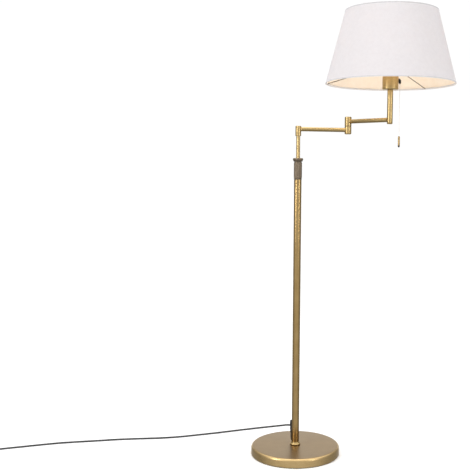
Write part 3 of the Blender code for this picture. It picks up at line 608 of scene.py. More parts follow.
# %% Hidden metals, felt and pale plastic
CAST_IRON = grained("sand_cast_iron", ("#3a3836", "#55514d"), 1.2, (0.6, 0.85), 0.2, Metallic=1.0)
FELT = grained("pressed_black_felt", ("#121212", "#2a2a2a"), 0.5, (0.9, 1.0), 0.3)
ZINC = grained("zinc_plated_steel", ("#a9a9a6", "#c4c4c0"), 2.0, (0.25, 0.4), 0.02, Metallic=1.0)
NICKEL = grained(
    "nickel_plated_brass", ("#bdb9b0", "#d6d2c8"), 1.0, (0.15, 0.28), 0.01, Metallic=1.0
)
NYLON = grained("natural_nylon", ("#d9d4c6", "#e6e1d4"), 0.6, (0.4, 0.55), 0.03)
PORCELAIN = grained("white_phenolic", ("#dcd8cf", "#ebe8e0"), 0.8, (0.25, 0.35), 0.02)

KEPT_FINISHES = {
    "base_weight": CAST_IRON,
    "base_pad": FELT,
    "foot_nipple": ZINC,
    "foot_washer": ZINC,
    "foot_nut": ZINC,
    "pole_foot_insert": ZINC,
    "elbow_pin": ZINC,
    "knuckle_pin": ZINC,
    "stem_nipple": ZINC,
    "stem_insert": ZINC,
    "pull_bead": NICKEL,
    "elbow_washer": TURNED_BRASS_PAINTED_LIGHT,
    "knuckle_washer": RIBBED_BRONZE,
    "pole_top_bush": NYLON,
    "collet": NYLON,
    "slide_guide": NYLON,
}


def refinish(node, finish):
    """Gives a node of the frame a new material in every slot."""
    mesh = NODES[node].data
    mesh.materials.clear()
    mesh.materials.append(finish)


for kept_node, kept_finish in KEPT_FINISHES.items():
    refinish(kept_node, kept_finish)
print(f"{len(KEPT_FINISHES)} hidden nodes refinished")

# %% [markdown]
# ## Pole and height lock
#
# The pole is a drawn tube. A ribbed collar at its top is turned by hand and squeezes a split collet
# on to the thinner tube that slides inside. The ribs are rolled into the metal, so they are soft
# waves and not cut teeth. They stop short of both ends, where the tool lifts off.

# %% Pole, collar and inner tube
COLLAR = size_of("lock_collar")
RIBS = 14
RIB_DEPTH = 0.9 * MM


def pole():
    wall = 1.5 * MM
    outline = tube_corners(POLE.r - wall, POLE.r, POLE.low, POLE.high, 0.5 * MM)
    lathe("pole", outline, POLE_BRASS, "base", AXIS, ("pole_tube",), 96, closed=True)


def collar_sections():
    """(height, radius, share of full rib depth) from the collar's foot to its top."""
    foot, top, r = COLLAR.low, COLLAR.high, COLLAR.r - 0.1 * MM
    groove = r - 1.1 * MM
    return [
        (foot, r - 0.5 * MM, 0),
        (foot + 0.5 * MM, r - 0.1 * MM, 0),
        (foot + 2.4 * MM, r - 0.1 * MM, 0),
        (foot + 2.8 * MM, groove, 0),
        (foot + 3.4 * MM, groove, 0),
        (foot + 3.9 * MM, r - 0.2 * MM, 0.2),
        (foot + 4.8 * MM, r, 0.8),
        (foot + 6.0 * MM, r, 1),
        (top - 4.5 * MM, r, 1),
        (top - 3.2 * MM, r, 0.8),
        (top - 2.4 * MM, r - 0.2 * MM, 0.2),
        (top - 1.8 * MM, groove, 0),
        (top - 0.3 * MM, groove, 0),
        (top, groove - 0.3 * MM, 0),
    ]


def ribbed_collar():
    """Rings of points joined into a skin, each ring waved by the ribs."""
    around = RIBS * 14
    bore = 8.5 * MM
    work = bmesh.new()
    rings = []
    sections = collar_sections()
    for height, radius, share in [(COLLAR.low, bore, 0), *sections, (COLLAR.high, bore, 0)]:
        ring = []
        for i in range(around):
            angle = math.tau * i / around
            valley = (1 - abs(math.cos(angle * RIBS / 2)) ** 0.6) * RIB_DEPTH * share
            r = radius - valley
            ring.append(work.verts.new((r * math.cos(angle), r * math.sin(angle), height)))
        rings.append(ring)
    rings.append(rings[0])
    for lower, upper in zip(rings, rings[1:]):
        for i in range(around):
            k = (i + 1) % around
            work.faces.new((lower[i], lower[k], upper[k], upper[i]))
    bmesh.ops.recalc_face_normals(work, faces=work.faces)
    mesh = mesh_of(work, "ribbed_lock_collar")
    shade_round(mesh, 40)
    new_piece("ribbed_lock_collar", mesh, RIBBED_BRONZE, "lock", ("lock_collar",))


def collar_cap():
    """Flared ring on the collar's top, where the thumb rests."""
    ring = size_of("collar_ring")
    bore = 5.8 * MM
    outline = [
        (bore, ring.high - 0.4 * MM),
        (bore + 0.5 * MM, ring.high, 0.3 * MM),
        (ring.r - 3.0 * MM, ring.high, 1.6 * MM),
        (ring.r - 0.8 * MM, ring.high - 1.0 * MM, 1.0 * MM),
        (ring.r, ring.high - 2.8 * MM, 0.9 * MM),
        (ring.r, ring.high - 4.4 * MM, 0.9 * MM),
        (ring.r - 1.1 * MM, ring.high - 6.6 * MM, 1.4 * MM),
        (ring.r - 1.9 * MM, ring.low + 0.7 * MM, 0.6 * MM),
        (ring.r - 2.3 * MM, ring.low, 0.2 * MM),
        (bore, ring.low),
    ]
    lathe(
        "collar_cap", outline, RIBBED_BRONZE, "lock", AXIS, ("collar_ring",), closed=True
    )


def inner_tube():
    tube = size_of("inner_tube")
    outline = tube_corners(tube.r - 0.9 * MM, tube.r, tube.low, tube.high, 0.4 * MM)
    lathe(
        "sliding_tube", outline, DRAWN_BRASS_PAINTED_LIGHT, "mast", AXIS, ("inner_tube",), 64, closed=True
    )


pole()
ribbed_collar()
collar_cap()
inner_tube()
print(f"collar with {RIBS} ribs")

# %% [markdown]
# ## The swing arm
#
# Two straight rods meet in a knuckle of two short barrels that turn on one hidden pin. Barrels are
# turned from bar, with a generous radius on the outer end and a hairline gap between them. Each rod
# is drawn bar pushed into a drilled socket, and solder leaves a thin fillet ring round it.

# %% Elbow, rods and knuckle
ELBOW = size_of("elbow_head")
LOWER = size_of("knuckle_lower")
UPPER = size_of("knuckle_upper")
STEM = size_of("stem_tube")
ROD = size_of("arm_1_rod")
ROD_RADIUS = (ROD.high - ROD.low) / 2
ARM_1_AT = ROD.low + ROD_RADIUS
ARM_2_AT = size_of("arm_2_rod").low + ROD_RADIUS


def barrel(name, size, finish, body, node, top_ease, foot_ease):
    """A short solid barrel with its two ends eased."""
    outline = [(0, size.high), (size.r, size.high, top_ease)]
    outline += [(size.r, size.low, foot_ease), (0, size.low)]
    lathe(name, outline, finish, body, (size.x, size.y, 0), (node,))


def rod(name, node, start, end, height, body):
    """Straight rod between two upright axes, with a solder ring at each socket."""
    start, end = Vector((*start, height)), Vector((*end, height))
    way = (end - start).normalized()
    length = (end - start).length
    outline = [(0, length), (ROD_RADIUS, length, 0.2 * MM), (ROD_RADIUS, 0, 0.2 * MM), (0, 0)]
    lathe(name, outline, DRAWN_BRASS_PAINTED_LIGHT, body, start, (node,), 64, turn=pointing(way))


def solder_ring(name, size, towards, height, body):
    """Thin fillet where a rod meets a round barrel."""
    way = Vector((towards[0] - size.x, towards[1] - size.y, 0)).normalized()
    start = Vector((size.x, size.y, height)) + way * (size.r - 1.2 * MM)
    outline = [
        (ROD_RADIUS - 0.3 * MM, 2.4 * MM),
        (ROD_RADIUS + 0.25 * MM, 2.2 * MM, 0.3 * MM),
        (ROD_RADIUS + 0.9 * MM, 0, 0.1 * MM),
        (ROD_RADIUS - 0.3 * MM, 0),
    ]
    lathe(name, outline, TURNED_BRASS_PAINTED_LIGHT, body, start, (), 48, closed=True, turn=pointing(way))


barrel("elbow", ELBOW, TURNED_BRASS_PAINTED_LIGHT, "arm_1", "elbow_head", 3.2 * MM, 0.6 * MM)
barrel("lower_barrel", LOWER, TURNED_BRASS_PAINTED_LIGHT, "arm_1", "knuckle_lower", 0.4 * MM, 3.4 * MM)
barrel("upper_barrel", UPPER, TURNED_BRASS_PAINTED_LIGHT, "arm_2", "knuckle_upper", 2.6 * MM, 0.4 * MM)
rod("first_arm", "arm_1_rod", (ELBOW.x, ELBOW.y), (LOWER.x, LOWER.y), ARM_1_AT, "arm_1")
rod("second_arm", "arm_2_rod", (UPPER.x, UPPER.y), (STEM.x, STEM.y), ARM_2_AT, "arm_2")
solder_ring("elbow_fillet", ELBOW, (LOWER.x, LOWER.y), ARM_1_AT, "arm_1")
solder_ring("lower_fillet", LOWER, (ELBOW.x, ELBOW.y), ARM_1_AT, "arm_1")
solder_ring("upper_fillet", UPPER, (STEM.x, STEM.y), ARM_2_AT, "arm_2")
solder_ring("stem_fillet", STEM, (UPPER.x, UPPER.y), ARM_2_AT, "arm_2")
print("arms reach", round((Vector((STEM.x, STEM.y))).length, 3), "m")

# %% [markdown]
# ## Stem and lampholder cup
#
# The stem is a tube closed below by a turned cap with a shallow bead. The cup above it hides the
# lampholder. It is drawn from sheet, so its bottom edge is a small even radius.

# %% Stem, cap and cup


def stem():
    outline = tube_corners(STEM.r - 1.2 * MM, STEM.r, STEM.low, STEM.high, 0.3 * MM)
    lathe("stem", outline, DRAWN_BRASS_PAINTED_LIGHT, "arm_2", HEAD, ("stem_tube",), 80, closed=True)
    cap = size_of("stem_cap")
    seam = STEM.low - 0.3 * MM
    cap_outline = [
        (0, seam),
        (cap.r - 0.5 * MM, seam, 0.2 * MM),
        (cap.r, seam - 0.6 * MM, 0.4 * MM),
        (cap.r, seam - 1.8 * MM, 0.6 * MM),
        (cap.r - 1.4 * MM, cap.low, 1.0 * MM),
        (0, cap.low),
    ]
    lathe("stem_end_cap", cap_outline, TURNED_BRASS_PAINTED_LIGHT, "arm_2", HEAD, ("stem_cap",), 80)


def cup():
    wall = 1.0 * MM
    hole = 5.3 * MM
    outline = [
        (CUP.r - wall, CUP.high, 0.3 * MM),
        (CUP.r, CUP.high, 0.4 * MM),
        (CUP.r, CUP.low, 2.4 * MM),
        (hole + 4.0 * MM, CUP.low, 0.4 * MM),
        (hole, CUP.low),
        (hole, CUP.low + wall),
        (CUP.r - wall, CUP.low + wall, 1.5 * MM),
    ]
    lathe(
        "lampholder_cup", outline, TURNED_BRASS_PAINTED_LIGHT, "arm_2", HEAD, ("holder_cup",), 112, closed=True
    )


stem()
cup()
print(f"cup {2000 * CUP.r:.0f} mm across")

# %% [markdown]
# The lampholder is moulded white phenolic with a thread on its skirt, and a ring nut clamps the
# shade to it. Both show when one looks down through the shade, so the thread is real geometry:
# shallow round ridges 2 mm apart, as a thread seen from the side.

# %% Lampholder and ring nut


def lampholder():
    holder = size_of("lampholder")
    well, well_floor, lead_hole = 13.6 * MM, 1.058, 5.3 * MM
    skirt, shoulder = 17.3 * MM, 1.0655
    pitch = 2.0 * MM
    ridges = []
    height = holder.high - 1.0 * MM
    while height > shoulder + 2.5 * MM:
        ridges += [(skirt, height, 0.5 * MM), (skirt - 0.6 * MM, height - pitch / 2, 0.5 * MM)]
        height -= pitch
    outline = (
        [(well, holder.high), (skirt - 0.8 * MM, holder.high, 0.4 * MM)]
        + ridges
        + [(skirt, shoulder + 1.0 * MM), (holder.r, shoulder, 0.5 * MM)]
        + [(holder.r, holder.low, 1.0 * MM)]
        + [(lead_hole, holder.low), (lead_hole, well_floor), (well, well_floor)]
    )
    return "threaded_lampholder", outline, "lampholder"


def ring_nut():
    nut = size_of("shade_ring_nut")
    bore = 17.6 * MM
    outline = [
        (bore, nut.high),
        (nut.r - 0.8 * MM, nut.high, 0.5 * MM),
        (nut.r, nut.high - 0.9 * MM, 0.5 * MM),
        (nut.r, nut.low, 0.4 * MM),
        (bore, nut.low),
    ]
    return "shade_nut", outline, "shade_ring_nut"


for moulded_name, moulded_outline, node in (lampholder(), ring_nut()):
    lathe(moulded_name, moulded_outline, PORCELAIN, "arm_2", HEAD, (node,), 80, closed=True)
print("lampholder threaded")

# %% [markdown]
# ## The shade
#
# A pale cotton-linen cloth is laminated to a stiff clear liner, rolled into a cone, and glued
# over two wire rings. Its two hems are turned over the wires, which makes a slightly thicker band
# at both rims, and the ends overlap in one upright seam at the back. The liner and the cloth are
# two pieces here, because lamplight passes through both and the cloth alone carries the weave.

# %% Shade sizes and skins
SKIN = size_of("shade_skin")
SKIN_LOW_RADIUS = SKIN.r
SKIN_HIGH_RADIUS = 123.5 * MM
CLOTH = 0.45 * MM
LINER = 0.6 * MM
HEM_HEIGHT = 3.2 * MM
HEM_THICK = 0.35 * MM


def cone_radius(height):
    """Outside radius of the shade at a height."""
    share = (height - SKIN.low) / (SKIN.high - SKIN.low)
    return SKIN_LOW_RADIUS + (SKIN_HIGH_RADIUS - SKIN_LOW_RADIUS) * share


def cone_band(name, low, high, outer_offset, thickness, finish, ease=0.0, rows=1, replaces=()):
    """A conical skin between two heights, offset inwards from the shade's outside."""
    outside = []
    for i in range(rows + 1):
        height = high + (low - high) * i / rows
        rounding = ease if i in (0, rows) else 0.0
        outside.append((cone_radius(height) - outer_offset, height, rounding))
    inside_line = [(corner[0] - thickness, corner[1]) for corner in reversed(outside)]
    start = (outside[0][0] - thickness / 2, high)
    outline = [start, *outside, *inside_line]
    return lathe(name, outline, finish, "arm_2", HEAD, replaces, 144, closed=True)


print(f"shade {2000 * SKIN_LOW_RADIUS:.0f} mm below, {2000 * SKIN_HIGH_RADIUS:.0f} mm above")

# %% [markdown]
# Shade cloth is a plain weave of slubby threads about half a millimetre apart. That is finer than
# the picture can show, so the threads are drawn 1.1 mm apart. They run up and round the cone, so
# the pattern is made from the angle and the height, not from a flat projection, which would stretch
# at the sides. The cloth also lets light through, which a Translucent shader mixed in does:
# the lit bulb warms it from inside.

# %% Cloth and liner finishes
THREAD_MM = 1.1


def cone_threads(tree, place):
    """Two wave patterns, round the cone and up it, multiplied into a plain weave."""
    axes = add_node(tree, "ShaderNodeSeparateXYZ", None, Vector=place)
    angle = add_node(
        tree,
        "ShaderNodeMath",
        {"operation": "ARCTAN2"},
        _0=axes.outputs["Y"],
        _1=axes.outputs["X"],
    )
    mean_radius = (SKIN_LOW_RADIUS + SKIN_HIGH_RADIUS) / 2
    round_way = add_node(
        tree, "ShaderNodeMath", {"operation": "MULTIPLY"}, _0=angle.outputs[0], _1=mean_radius
    )
    wobble = add_node(
        tree, "ShaderNodeTexNoise", None, Vector=place, Scale=1 / (9 * MM), Detail=4.0
    ).outputs["Fac"]
    slub = add_node(
        tree, "ShaderNodeMath", {"operation": "MULTIPLY"}, _0=wobble, _1=THREAD_MM * MM * 1.4
    )
    waves = []
    for way in (round_way.outputs[0], axes.outputs["Z"]):
        moved = add_node(tree, "ShaderNodeMath", {"operation": "ADD"}, _0=way, _1=slub.outputs[0])
        turns = add_node(
            tree,
            "ShaderNodeMath",
            {"operation": "MULTIPLY"},
            _0=moved.outputs[0],
            _1=math.tau / (THREAD_MM * MM),
        )
        waves.append(add_node(tree, "ShaderNodeMath", {"operation": "SINE"}, _0=turns.outputs[0]))
    over, under = (wave.outputs[0] for wave in waves)
    crossed = add_node(tree, "ShaderNodeMath", {"operation": "MULTIPLY"}, _0=over, _1=under)
    woven = add_node(
        tree,
        "ShaderNodeMapRange",
        None,
        Value=crossed.outputs[0],
        From_Min=-1.0,
        From_Max=0.0,
        To_Max=0.5,
    )
    return woven.outputs["Result"], wobble


def let_light_through(made, tint, share):
    """Mixes a share of tinted see-through light into a finish."""
    tree = made.node_tree
    shader, output = (
        next(n for n in tree.nodes if n.type == kind)
        for kind in ("BSDF_PRINCIPLED", "OUTPUT_MATERIAL")
    )
    glow = add_node(tree, "ShaderNodeBsdfTranslucent", None, Color=colour(tint))
    both = add_node(
        tree, "ShaderNodeMixShader", None, Fac=share, _1=shader.outputs[0], _2=glow.outputs[0]
    )
    tree.links.new(both.outputs[0], output.inputs["Surface"])


CLOTH_TONES = ("#dcdce2", "#e5e6ec", "#ecedf3")
# The hem tones are painted greyer than the cloth, as painted shade along the rolled rims.
HEM_TONES_PAINTED_SHADE = ("#c6c4c6", "#cfcdcf", "#d8d6d8")


def shade_cloth(name="laminated_shade_cloth", through_light=0.38, tones=CLOTH_TONES):
    made, tree, shader, place = blank_finish(name, Roughness=0.9, IOR=1.45)
    woven, wobble = cone_threads(tree, place)
    mixed = add_node(
        tree, "ShaderNodeMix", {"data_type": "FLOAT"}, _0=0.5, _2=woven, _3=wobble
    ).outputs[0]
    stops = [(0.2, tones[0]), (0.5, tones[1]), (0.8, tones[2])]
    dress(tree, shader, mixed, stops, None, woven, 0.3, 0.12)
    let_light_through(made, "#fdf4ea", through_light)
    return made


CLOTH_FINISH = shade_cloth()
HEM_FINISH_PAINTED_SHADE = shade_cloth("doubled_hem_cloth_painted_shade", 0.1, HEM_TONES_PAINTED_SHADE)
LINER_FINISH = grained(
    "warm_white_liner", ("#f5eadb", "#faf2e6"), 14, None, 0.1, 0.1, 4.0, Roughness=0.55, IOR=1.5
)
let_light_through(LINER_FINISH, "#fdf3e2", 0.3)
print("shade finishes ready")

# %% [markdown]
# The liner and the cloth are cone bands, the two hems are short bands at the rims, and the seam is
# a strip laid up the back.

# %% Make the shade


def shade_pieces():
    hems = []
    rim = 0.25 * MM
    cone_band(
        "shade_liner",
        SKIN.low + 0.6 * MM,
        SKIN.high - 0.6 * MM,
        CLOTH + HEM_THICK + 0.05 * MM,
        LINER,
        LINER_FINISH,
        replaces=("shade_skin",),
    )
    cloth = cone_band(
        "shade_cloth",
        SKIN.low + 0.3 * MM,
        SKIN.high - 0.3 * MM,
        HEM_THICK,
        CLOTH,
        CLOTH_FINISH,
        rows=12,
    )
    for name, low, high in (
        ("shade_hem_bottom", SKIN.low, SKIN.low + HEM_HEIGHT),
        ("shade_hem_top", SKIN.high - HEM_HEIGHT, SKIN.high),
    ):
        hems.append(cone_band(name, low, high, 0.0, HEM_THICK, HEM_FINISH_PAINTED_SHADE, rim))
    return cloth, hems


def back_seam():
    """The overlap where the cloth's two ends meet, a strip up the back of the cone."""
    half_angle = math.radians(2.2)
    middle = math.radians(90)
    work = bmesh.new()
    rows, columns = 12, 6
    grid = []
    for i in range(rows + 1):
        height = SKIN.low + 0.4 * MM + (SKIN.high - SKIN.low - 0.8 * MM) * i / rows
        row = []
        for k in range(columns + 1):
            angle = middle + half_angle * (2 * k / columns - 1)
            lift = 0.12 * MM if 0 < k < columns else -0.3 * MM
            r = cone_radius(height) + lift - 0.2 * MM
            row.append(work.verts.new((r * math.cos(angle), r * math.sin(angle), height)))
        grid.append(row)
    for lower, upper in zip(grid, grid[1:]):
        for k in range(columns):
            work.faces.new((lower[k + 1], lower[k], upper[k], upper[k + 1]))
    bmesh.ops.recalc_face_normals(work, faces=work.faces)
    mesh = mesh_of(work, "shade_back_seam")
    shade_round(mesh, 60)
    return new_piece(
        "shade_back_seam", mesh, CLOTH_FINISH, "arm_2", (), Matrix.Translation(HEAD)
    )


CLOTH_PIECE, HEMS = shade_pieces()
SEAM = back_seam()

# %% [markdown]
# Inside, three spokes rise from the bottom wire to a flat ring that the nut clamps. The spokes are
# drawn steel, faintly shiny; their grey-brown colour is painted dark, as painted shade on their
# unlit undersides, so they read dark against the lit liner. The hub and the welds share it. Welds
# leave small swellings where they meet the bottom wire. Both wire rings are hidden by the cloth's
# own hem, which is turned over them, so they carry the hem's finish and its painted shade.

# %% Wires, spokes and hub
# Painted shade: the wire colour is darkened for the unlit undersides of the spokes, hub and welds.
FRAME_WIRE_PAINTED_SHADE = grained(
    "steel_wire_painted_shade", ("#8f8373", "#ab9f8e"), 1.5, (0.35, 0.5), 0.03, Metallic=1.0
)
WIRE_RADIUS = 1.4 * MM
HUB_BORE, HUB_RADIUS, HUB_THICK = 17.7 * MM, 23.4 * MM, 2.0 * MM
SPOKES = (49.0, 169.0, -71.0)


def on_circle(radius, degrees, height):
    turn = math.radians(degrees)
    return HEAD + Vector((radius * math.cos(turn), radius * math.sin(turn), height))


def wire_ring(name, height, replaces):
    slope = math.hypot(1, (SKIN_LOW_RADIUS - SKIN_HIGH_RADIUS) / (SKIN.high - SKIN.low))
    radius = cone_radius(height) - 1.2 * MM - (WIRE_RADIUS + 0.3 * MM) * slope
    points = [on_circle(radius, 360 * i / 144, height) for i in range(144)]
    bent_wire(name, points, WIRE_RADIUS, HEM_FINISH_PAINTED_SHADE, "arm_2", replaces, 4, cyclic=True)
    return radius


def weld(name, place):
    """A small rounded bead of weld metal."""
    work = bmesh.new()
    bmesh.ops.create_icosphere(work, subdivisions=3, radius=1.9 * MM)
    mesh = mesh_of(work, name)
    mesh.shade_smooth()
    new_piece(name, mesh, FRAME_WIRE_PAINTED_SHADE, "arm_2", (), Matrix.Translation(place))


def carrier():
    ring_height = size_of("shade_bottom_ring").low + WIRE_RADIUS
    ring_radius = wire_ring("bottom_wire", ring_height, ("shade_bottom_ring",))
    hub_top = size_of("shade_carrier").high
    hub = tube_corners(HUB_BORE, HUB_RADIUS, hub_top - HUB_THICK, hub_top, 0.4 * MM)
    lathe("carrier_hub", hub, FRAME_WIRE_PAINTED_SHADE, "arm_2", HEAD, ("shade_carrier",), 80, closed=True)
    for number, degrees in enumerate(SPOKES, 1):
        inner = on_circle(HUB_RADIUS - 1.6 * MM, degrees, hub_top - HUB_THICK / 2)
        bend = on_circle(27.0 * MM, degrees, hub_top - 1.6 * MM)
        outer = on_circle(ring_radius, degrees, ring_height)
        line = through([inner, bend, bend.lerp(outer, 0.5), outer], 6 * MM)
        bent_wire(f"spoke_{number}", line, WIRE_RADIUS * 0.86, FRAME_WIRE_PAINTED_SHADE, "arm_2", (), 4)
        weld(f"spoke_weld_{number}", outer)


carrier()
wire_ring("top_wire", size_of("shade_top_ring").low + WIRE_RADIUS, ("shade_top_ring",))
print("wire frame with", len(SPOKES), "spokes")

# %% [markdown]
# ## The bulb
#
# A frosted LED bulb with an aluminium screw cap. It is lit, and it is the only light inside the
# shade, so its glass is an emitter: about as warm as 2700 K, and only bright enough to warm the
# liner without bleaching it.

# %% Bulb
BULB = size_of("bulb")
LIT_GLASS = grained(
    "lit_frosted_glass",
    ("#fff0d6", "#fff6e6"),
    6,
    detail=3.0,
    Roughness=0.5,
    IOR=1.5,
    Emission_Color=colour("#ffead2"),
    Emission_Strength=8.0,
)


def bulb():
    centre = BULB.high - BULB.r
    outline = (
        [(0, BULB.high)]
        + quarter(0, centre, BULB.r, 84, -34, 28)
        + [(18.0 * MM, centre - 29 * MM, 3 * MM), (15.0 * MM, BULB.low + 34 * MM, 2 * MM)]
        + [(14.8 * MM, BULB.low + 30 * MM, 0.5 * MM), (0, BULB.low + 30 * MM)]
    )
    lathe("bulb_globe", outline, LIT_GLASS, "arm_2", HEAD, ("bulb",), 72)
    cap = [(0, BULB.low + 29.8 * MM)]
    height = BULB.low + 28 * MM
    while height > BULB.low + 8 * MM:
        cap += [(13.0 * MM, height, 0.6 * MM), (12.2 * MM, height - 1.8 * MM, 0.6 * MM)]
        height -= 3.6 * MM
    cap += [(6.0 * MM, BULB.low + 2 * MM, 1 * MM), (0, BULB.low)]
    lathe("bulb_cap", cap, NICKEL, "arm_2", HEAD, (), 64)


bulb()
print("bulb lit")

# %% [markdown]
# ## The pull switch
#
# A small black nozzle on the cup guides the pull cord. The cord is a braided white string, and its
# weight is a turned brass pendant with a darker tip.

# %% Nozzle, pull cord and weight
PULL = size_of("pull_weight")
PULL_CORD = size_of("pull_cord")


def nozzle():
    low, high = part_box("switch_nozzle")
    middle = Vector((CUP.x + CUP.r, CUP.y, high[2] - 5.0 * MM))
    boss = [
        (0, 5.0 * MM),
        (3.4 * MM, 5.0 * MM, 1.4 * MM),
        (4.9 * MM, 2.6 * MM, 1.0 * MM),
        (5.0 * MM, 0.2 * MM, 0.4 * MM),
        (0, 0.2 * MM),
    ]
    outwards = pointing((1, 0, 0))
    lathe("switch_boss", boss, RUBBER, "arm_2", middle, ("switch_nozzle",), 48, turn=outwards)
    mouth = [
        (1.8 * MM, low[2] + 3 * MM),
        (1.8 * MM, low[2], 0.3 * MM),
        (3.1 * MM, low[2], 0.7 * MM),
        (3.1 * MM, middle.z, 1.0 * MM),
        (1.8 * MM, middle.z + 1.5 * MM),
    ]
    lathe("switch_mouth", mouth, RUBBER, "arm_2", (PULL.x, PULL.y, 0), (), 48, closed=True)


def braided_string():
    made, tree, shader, place = blank_finish("braided_white_string", Roughness=0.8, IOR=1.45)
    braid = add_node(
        tree,
        "ShaderNodeTexWave",
        {"wave_type": "BANDS", "bands_direction": "DIAGONAL"},
        Vector=place,
        Scale=1 / (4 * MM),
        Distortion=1.0,
    ).outputs["Fac"]
    dress(tree, shader, braid, [(0.2, "#cfcbc6"), (0.8, "#efece8")], None, braid, 0.6, 0.1)
    return made


def pull():
    weight = [
        (0, PULL.high),
        (1.4 * MM, PULL.high, 0.2 * MM),
        (PULL.r, PULL.high - 1.4 * MM, 0.5 * MM),
        (PULL.r, PULL.low + 6.4 * MM, 0.1 * MM),
        (PULL.r - 0.3 * MM, PULL.low + 6.0 * MM, 0.1 * MM),
        (PULL.r - 0.3 * MM, PULL.low + 5.6 * MM, 0.1 * MM),
        (PULL.r, PULL.low + 5.2 * MM, 0.1 * MM),
        (PULL.r, PULL.low + 2.6 * MM, 0.6 * MM),
        (PULL.r * 0.6, PULL.low, 0.5 * MM),
        (0, PULL.low),
    ]
    pendant = lathe(
        "pull_pendant", weight, POLE_BRASS, "pull", (PULL.x, PULL.y, 0), ("pull_weight",), 48
    )
    tip = PULL.low + 5.3 * MM
    second_finish(pendant, DARK_TIP, lambda face: face.center.z < tip)
    steps = 24
    top = PULL_CORD.high - 0.4 * MM
    line = [
        Vector((PULL.x, PULL.y, top + (PULL_CORD.low - top) * i / steps))
        for i in range(steps + 1)
    ]
    string = bent_wire("pull_string", line, 0.65 * MM, braided_string(), "pull", ("pull_cord",), 3)


nozzle()
pull()
print("pull switch ready")

# %% [markdown]
# ## Strain relief and plug
#
# The sleeve that guards the cord tapers and is cut by rings, so that it bends more easily towards
# its mouth. It is held by a spigot through the pole. The plug is a flat two-pin mains plug with a
# waist for the fingers.

# %% Sleeve
SLEEVE_TURN = math.radians(140)
SPIGOT_HEIGHT = 0.0865


def strain_relief():
    low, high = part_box("strain_relief")
    away = POLE.r + 0.3 * MM + 4.2 * MM
    way = Vector((math.cos(SLEEVE_TURN), math.sin(SLEEVE_TURN), 0))
    top, mouth = high[2], low[2]
    outline = [(0, top), (2.6 * MM, top, 0.8 * MM), (4.1 * MM, top - 2.6 * MM, 1.6 * MM)]
    outline += [(4.2 * MM, top - 12 * MM, 0.6 * MM)]
    rings = 6
    for i in range(rings):
        r = (4.1 - 0.75 * i / rings) * MM
        neck = r - 0.5 * MM
        height = top - (13.0 + 3.6 * i) * MM
        outline += [(r, height, 0.3 * MM), (neck, height - 0.5 * MM, 0.2 * MM)]
        outline += [(neck, height - 1.3 * MM, 0.2 * MM)]
        outline += [(r - 0.1 * MM, height - 1.8 * MM, 0.3 * MM)]
    outline += [(3.3 * MM, mouth + 1.0 * MM, 0.4 * MM), (2.7 * MM, mouth, 0.3 * MM), (0, mouth)]
    lathe("cord_sleeve", outline, RUBBER, "base", away * way, ("strain_relief",), 56)
    foot = POLE.r * way + Vector((0, 0, SPIGOT_HEIGHT))
    spigot = [(0, 3.4 * MM), (3.0 * MM, 3.4 * MM), (3.4 * MM, 0.2 * MM, 0.3 * MM), (0, 0.2 * MM)]
    lathe("sleeve_spigot", spigot, RUBBER, "base", foot, (), 40, turn=pointing(way))


strain_relief()
print("strain relief ready")

# %% Plug and tie
SLEEVE_LENGTH = 14.0 * MM


def plug_outline(x, start, end, half):
    """Half-widths along the plug: narrow tail, waist, and a square pin face."""
    shares = ((0.0, 0.42), (0.12, 0.56), (0.22, 0.78), (0.4, 0.90))
    shares += ((0.55, 0.92), (0.72, 0.96), (0.9, 1.0), (1.0, 1.0))
    left = [(x - half * w, start + (end - start) * t) for t, w in shares]
    right = [(x + half * w, start + (end - start) * t) for t, w in reversed(shares)]
    return left + right


def plug():
    low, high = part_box("plug_body")
    x, z = (low[0] + high[0]) / 2, (low[2] + high[2]) / 2
    half, thick = (high[0] - low[0]) / 2, (high[2] - low[2]) / 2
    body_start = low[1] + SLEEVE_LENGTH
    work = bmesh.new()
    outline = plug_outline(x, body_start, high[1], half)
    face = work.faces.new([work.verts.new((px, py, z - thick)) for px, py in outline])
    swept = bmesh.ops.extrude_face_region(work, geom=[face])["geom"]
    lifted = [v for v in swept if isinstance(v, bmesh.types.BMVert)]
    bmesh.ops.translate(work, verts=lifted, vec=(0, 0, 2 * thick))
    bmesh.ops.recalc_face_normals(work, faces=work.faces)
    mesh = mesh_of(work, "two_pin_plug")
    body = new_piece("two_pin_plug", mesh, RUBBER, "base", ("plug_body",))
    rounded = body.modifiers.new("moulded_edges", "BEVEL")
    rounded.width = 2.6 * MM
    rounded.segments = 5
    rounded.angle_limit = math.radians(40)
    shade_round(mesh, 50)
    tail = [(0, 17 * MM), (4.4 * MM, 17 * MM), (4.4 * MM, 13 * MM, 0.4 * MM)]
    for i in range(5):
        height = (11.6 - 2.4 * i) * MM
        r = (4.1 - 0.22 * i) * MM
        tail += [(r - 0.6 * MM, height, 0.3 * MM)]
        tail += [(r, height - 0.8 * MM, 0.3 * MM), (r, height - 1.5 * MM, 0.3 * MM)]
    tail += [(2.7 * MM, 0, 0.2 * MM), (0, 0)]
    along = pointing((0, 1, 0))
    sleeve = lathe("plug_sleeve", tail, RUBBER, "base", (x, low[1], z), (), 48, turn=along)
    return [body, sleeve]


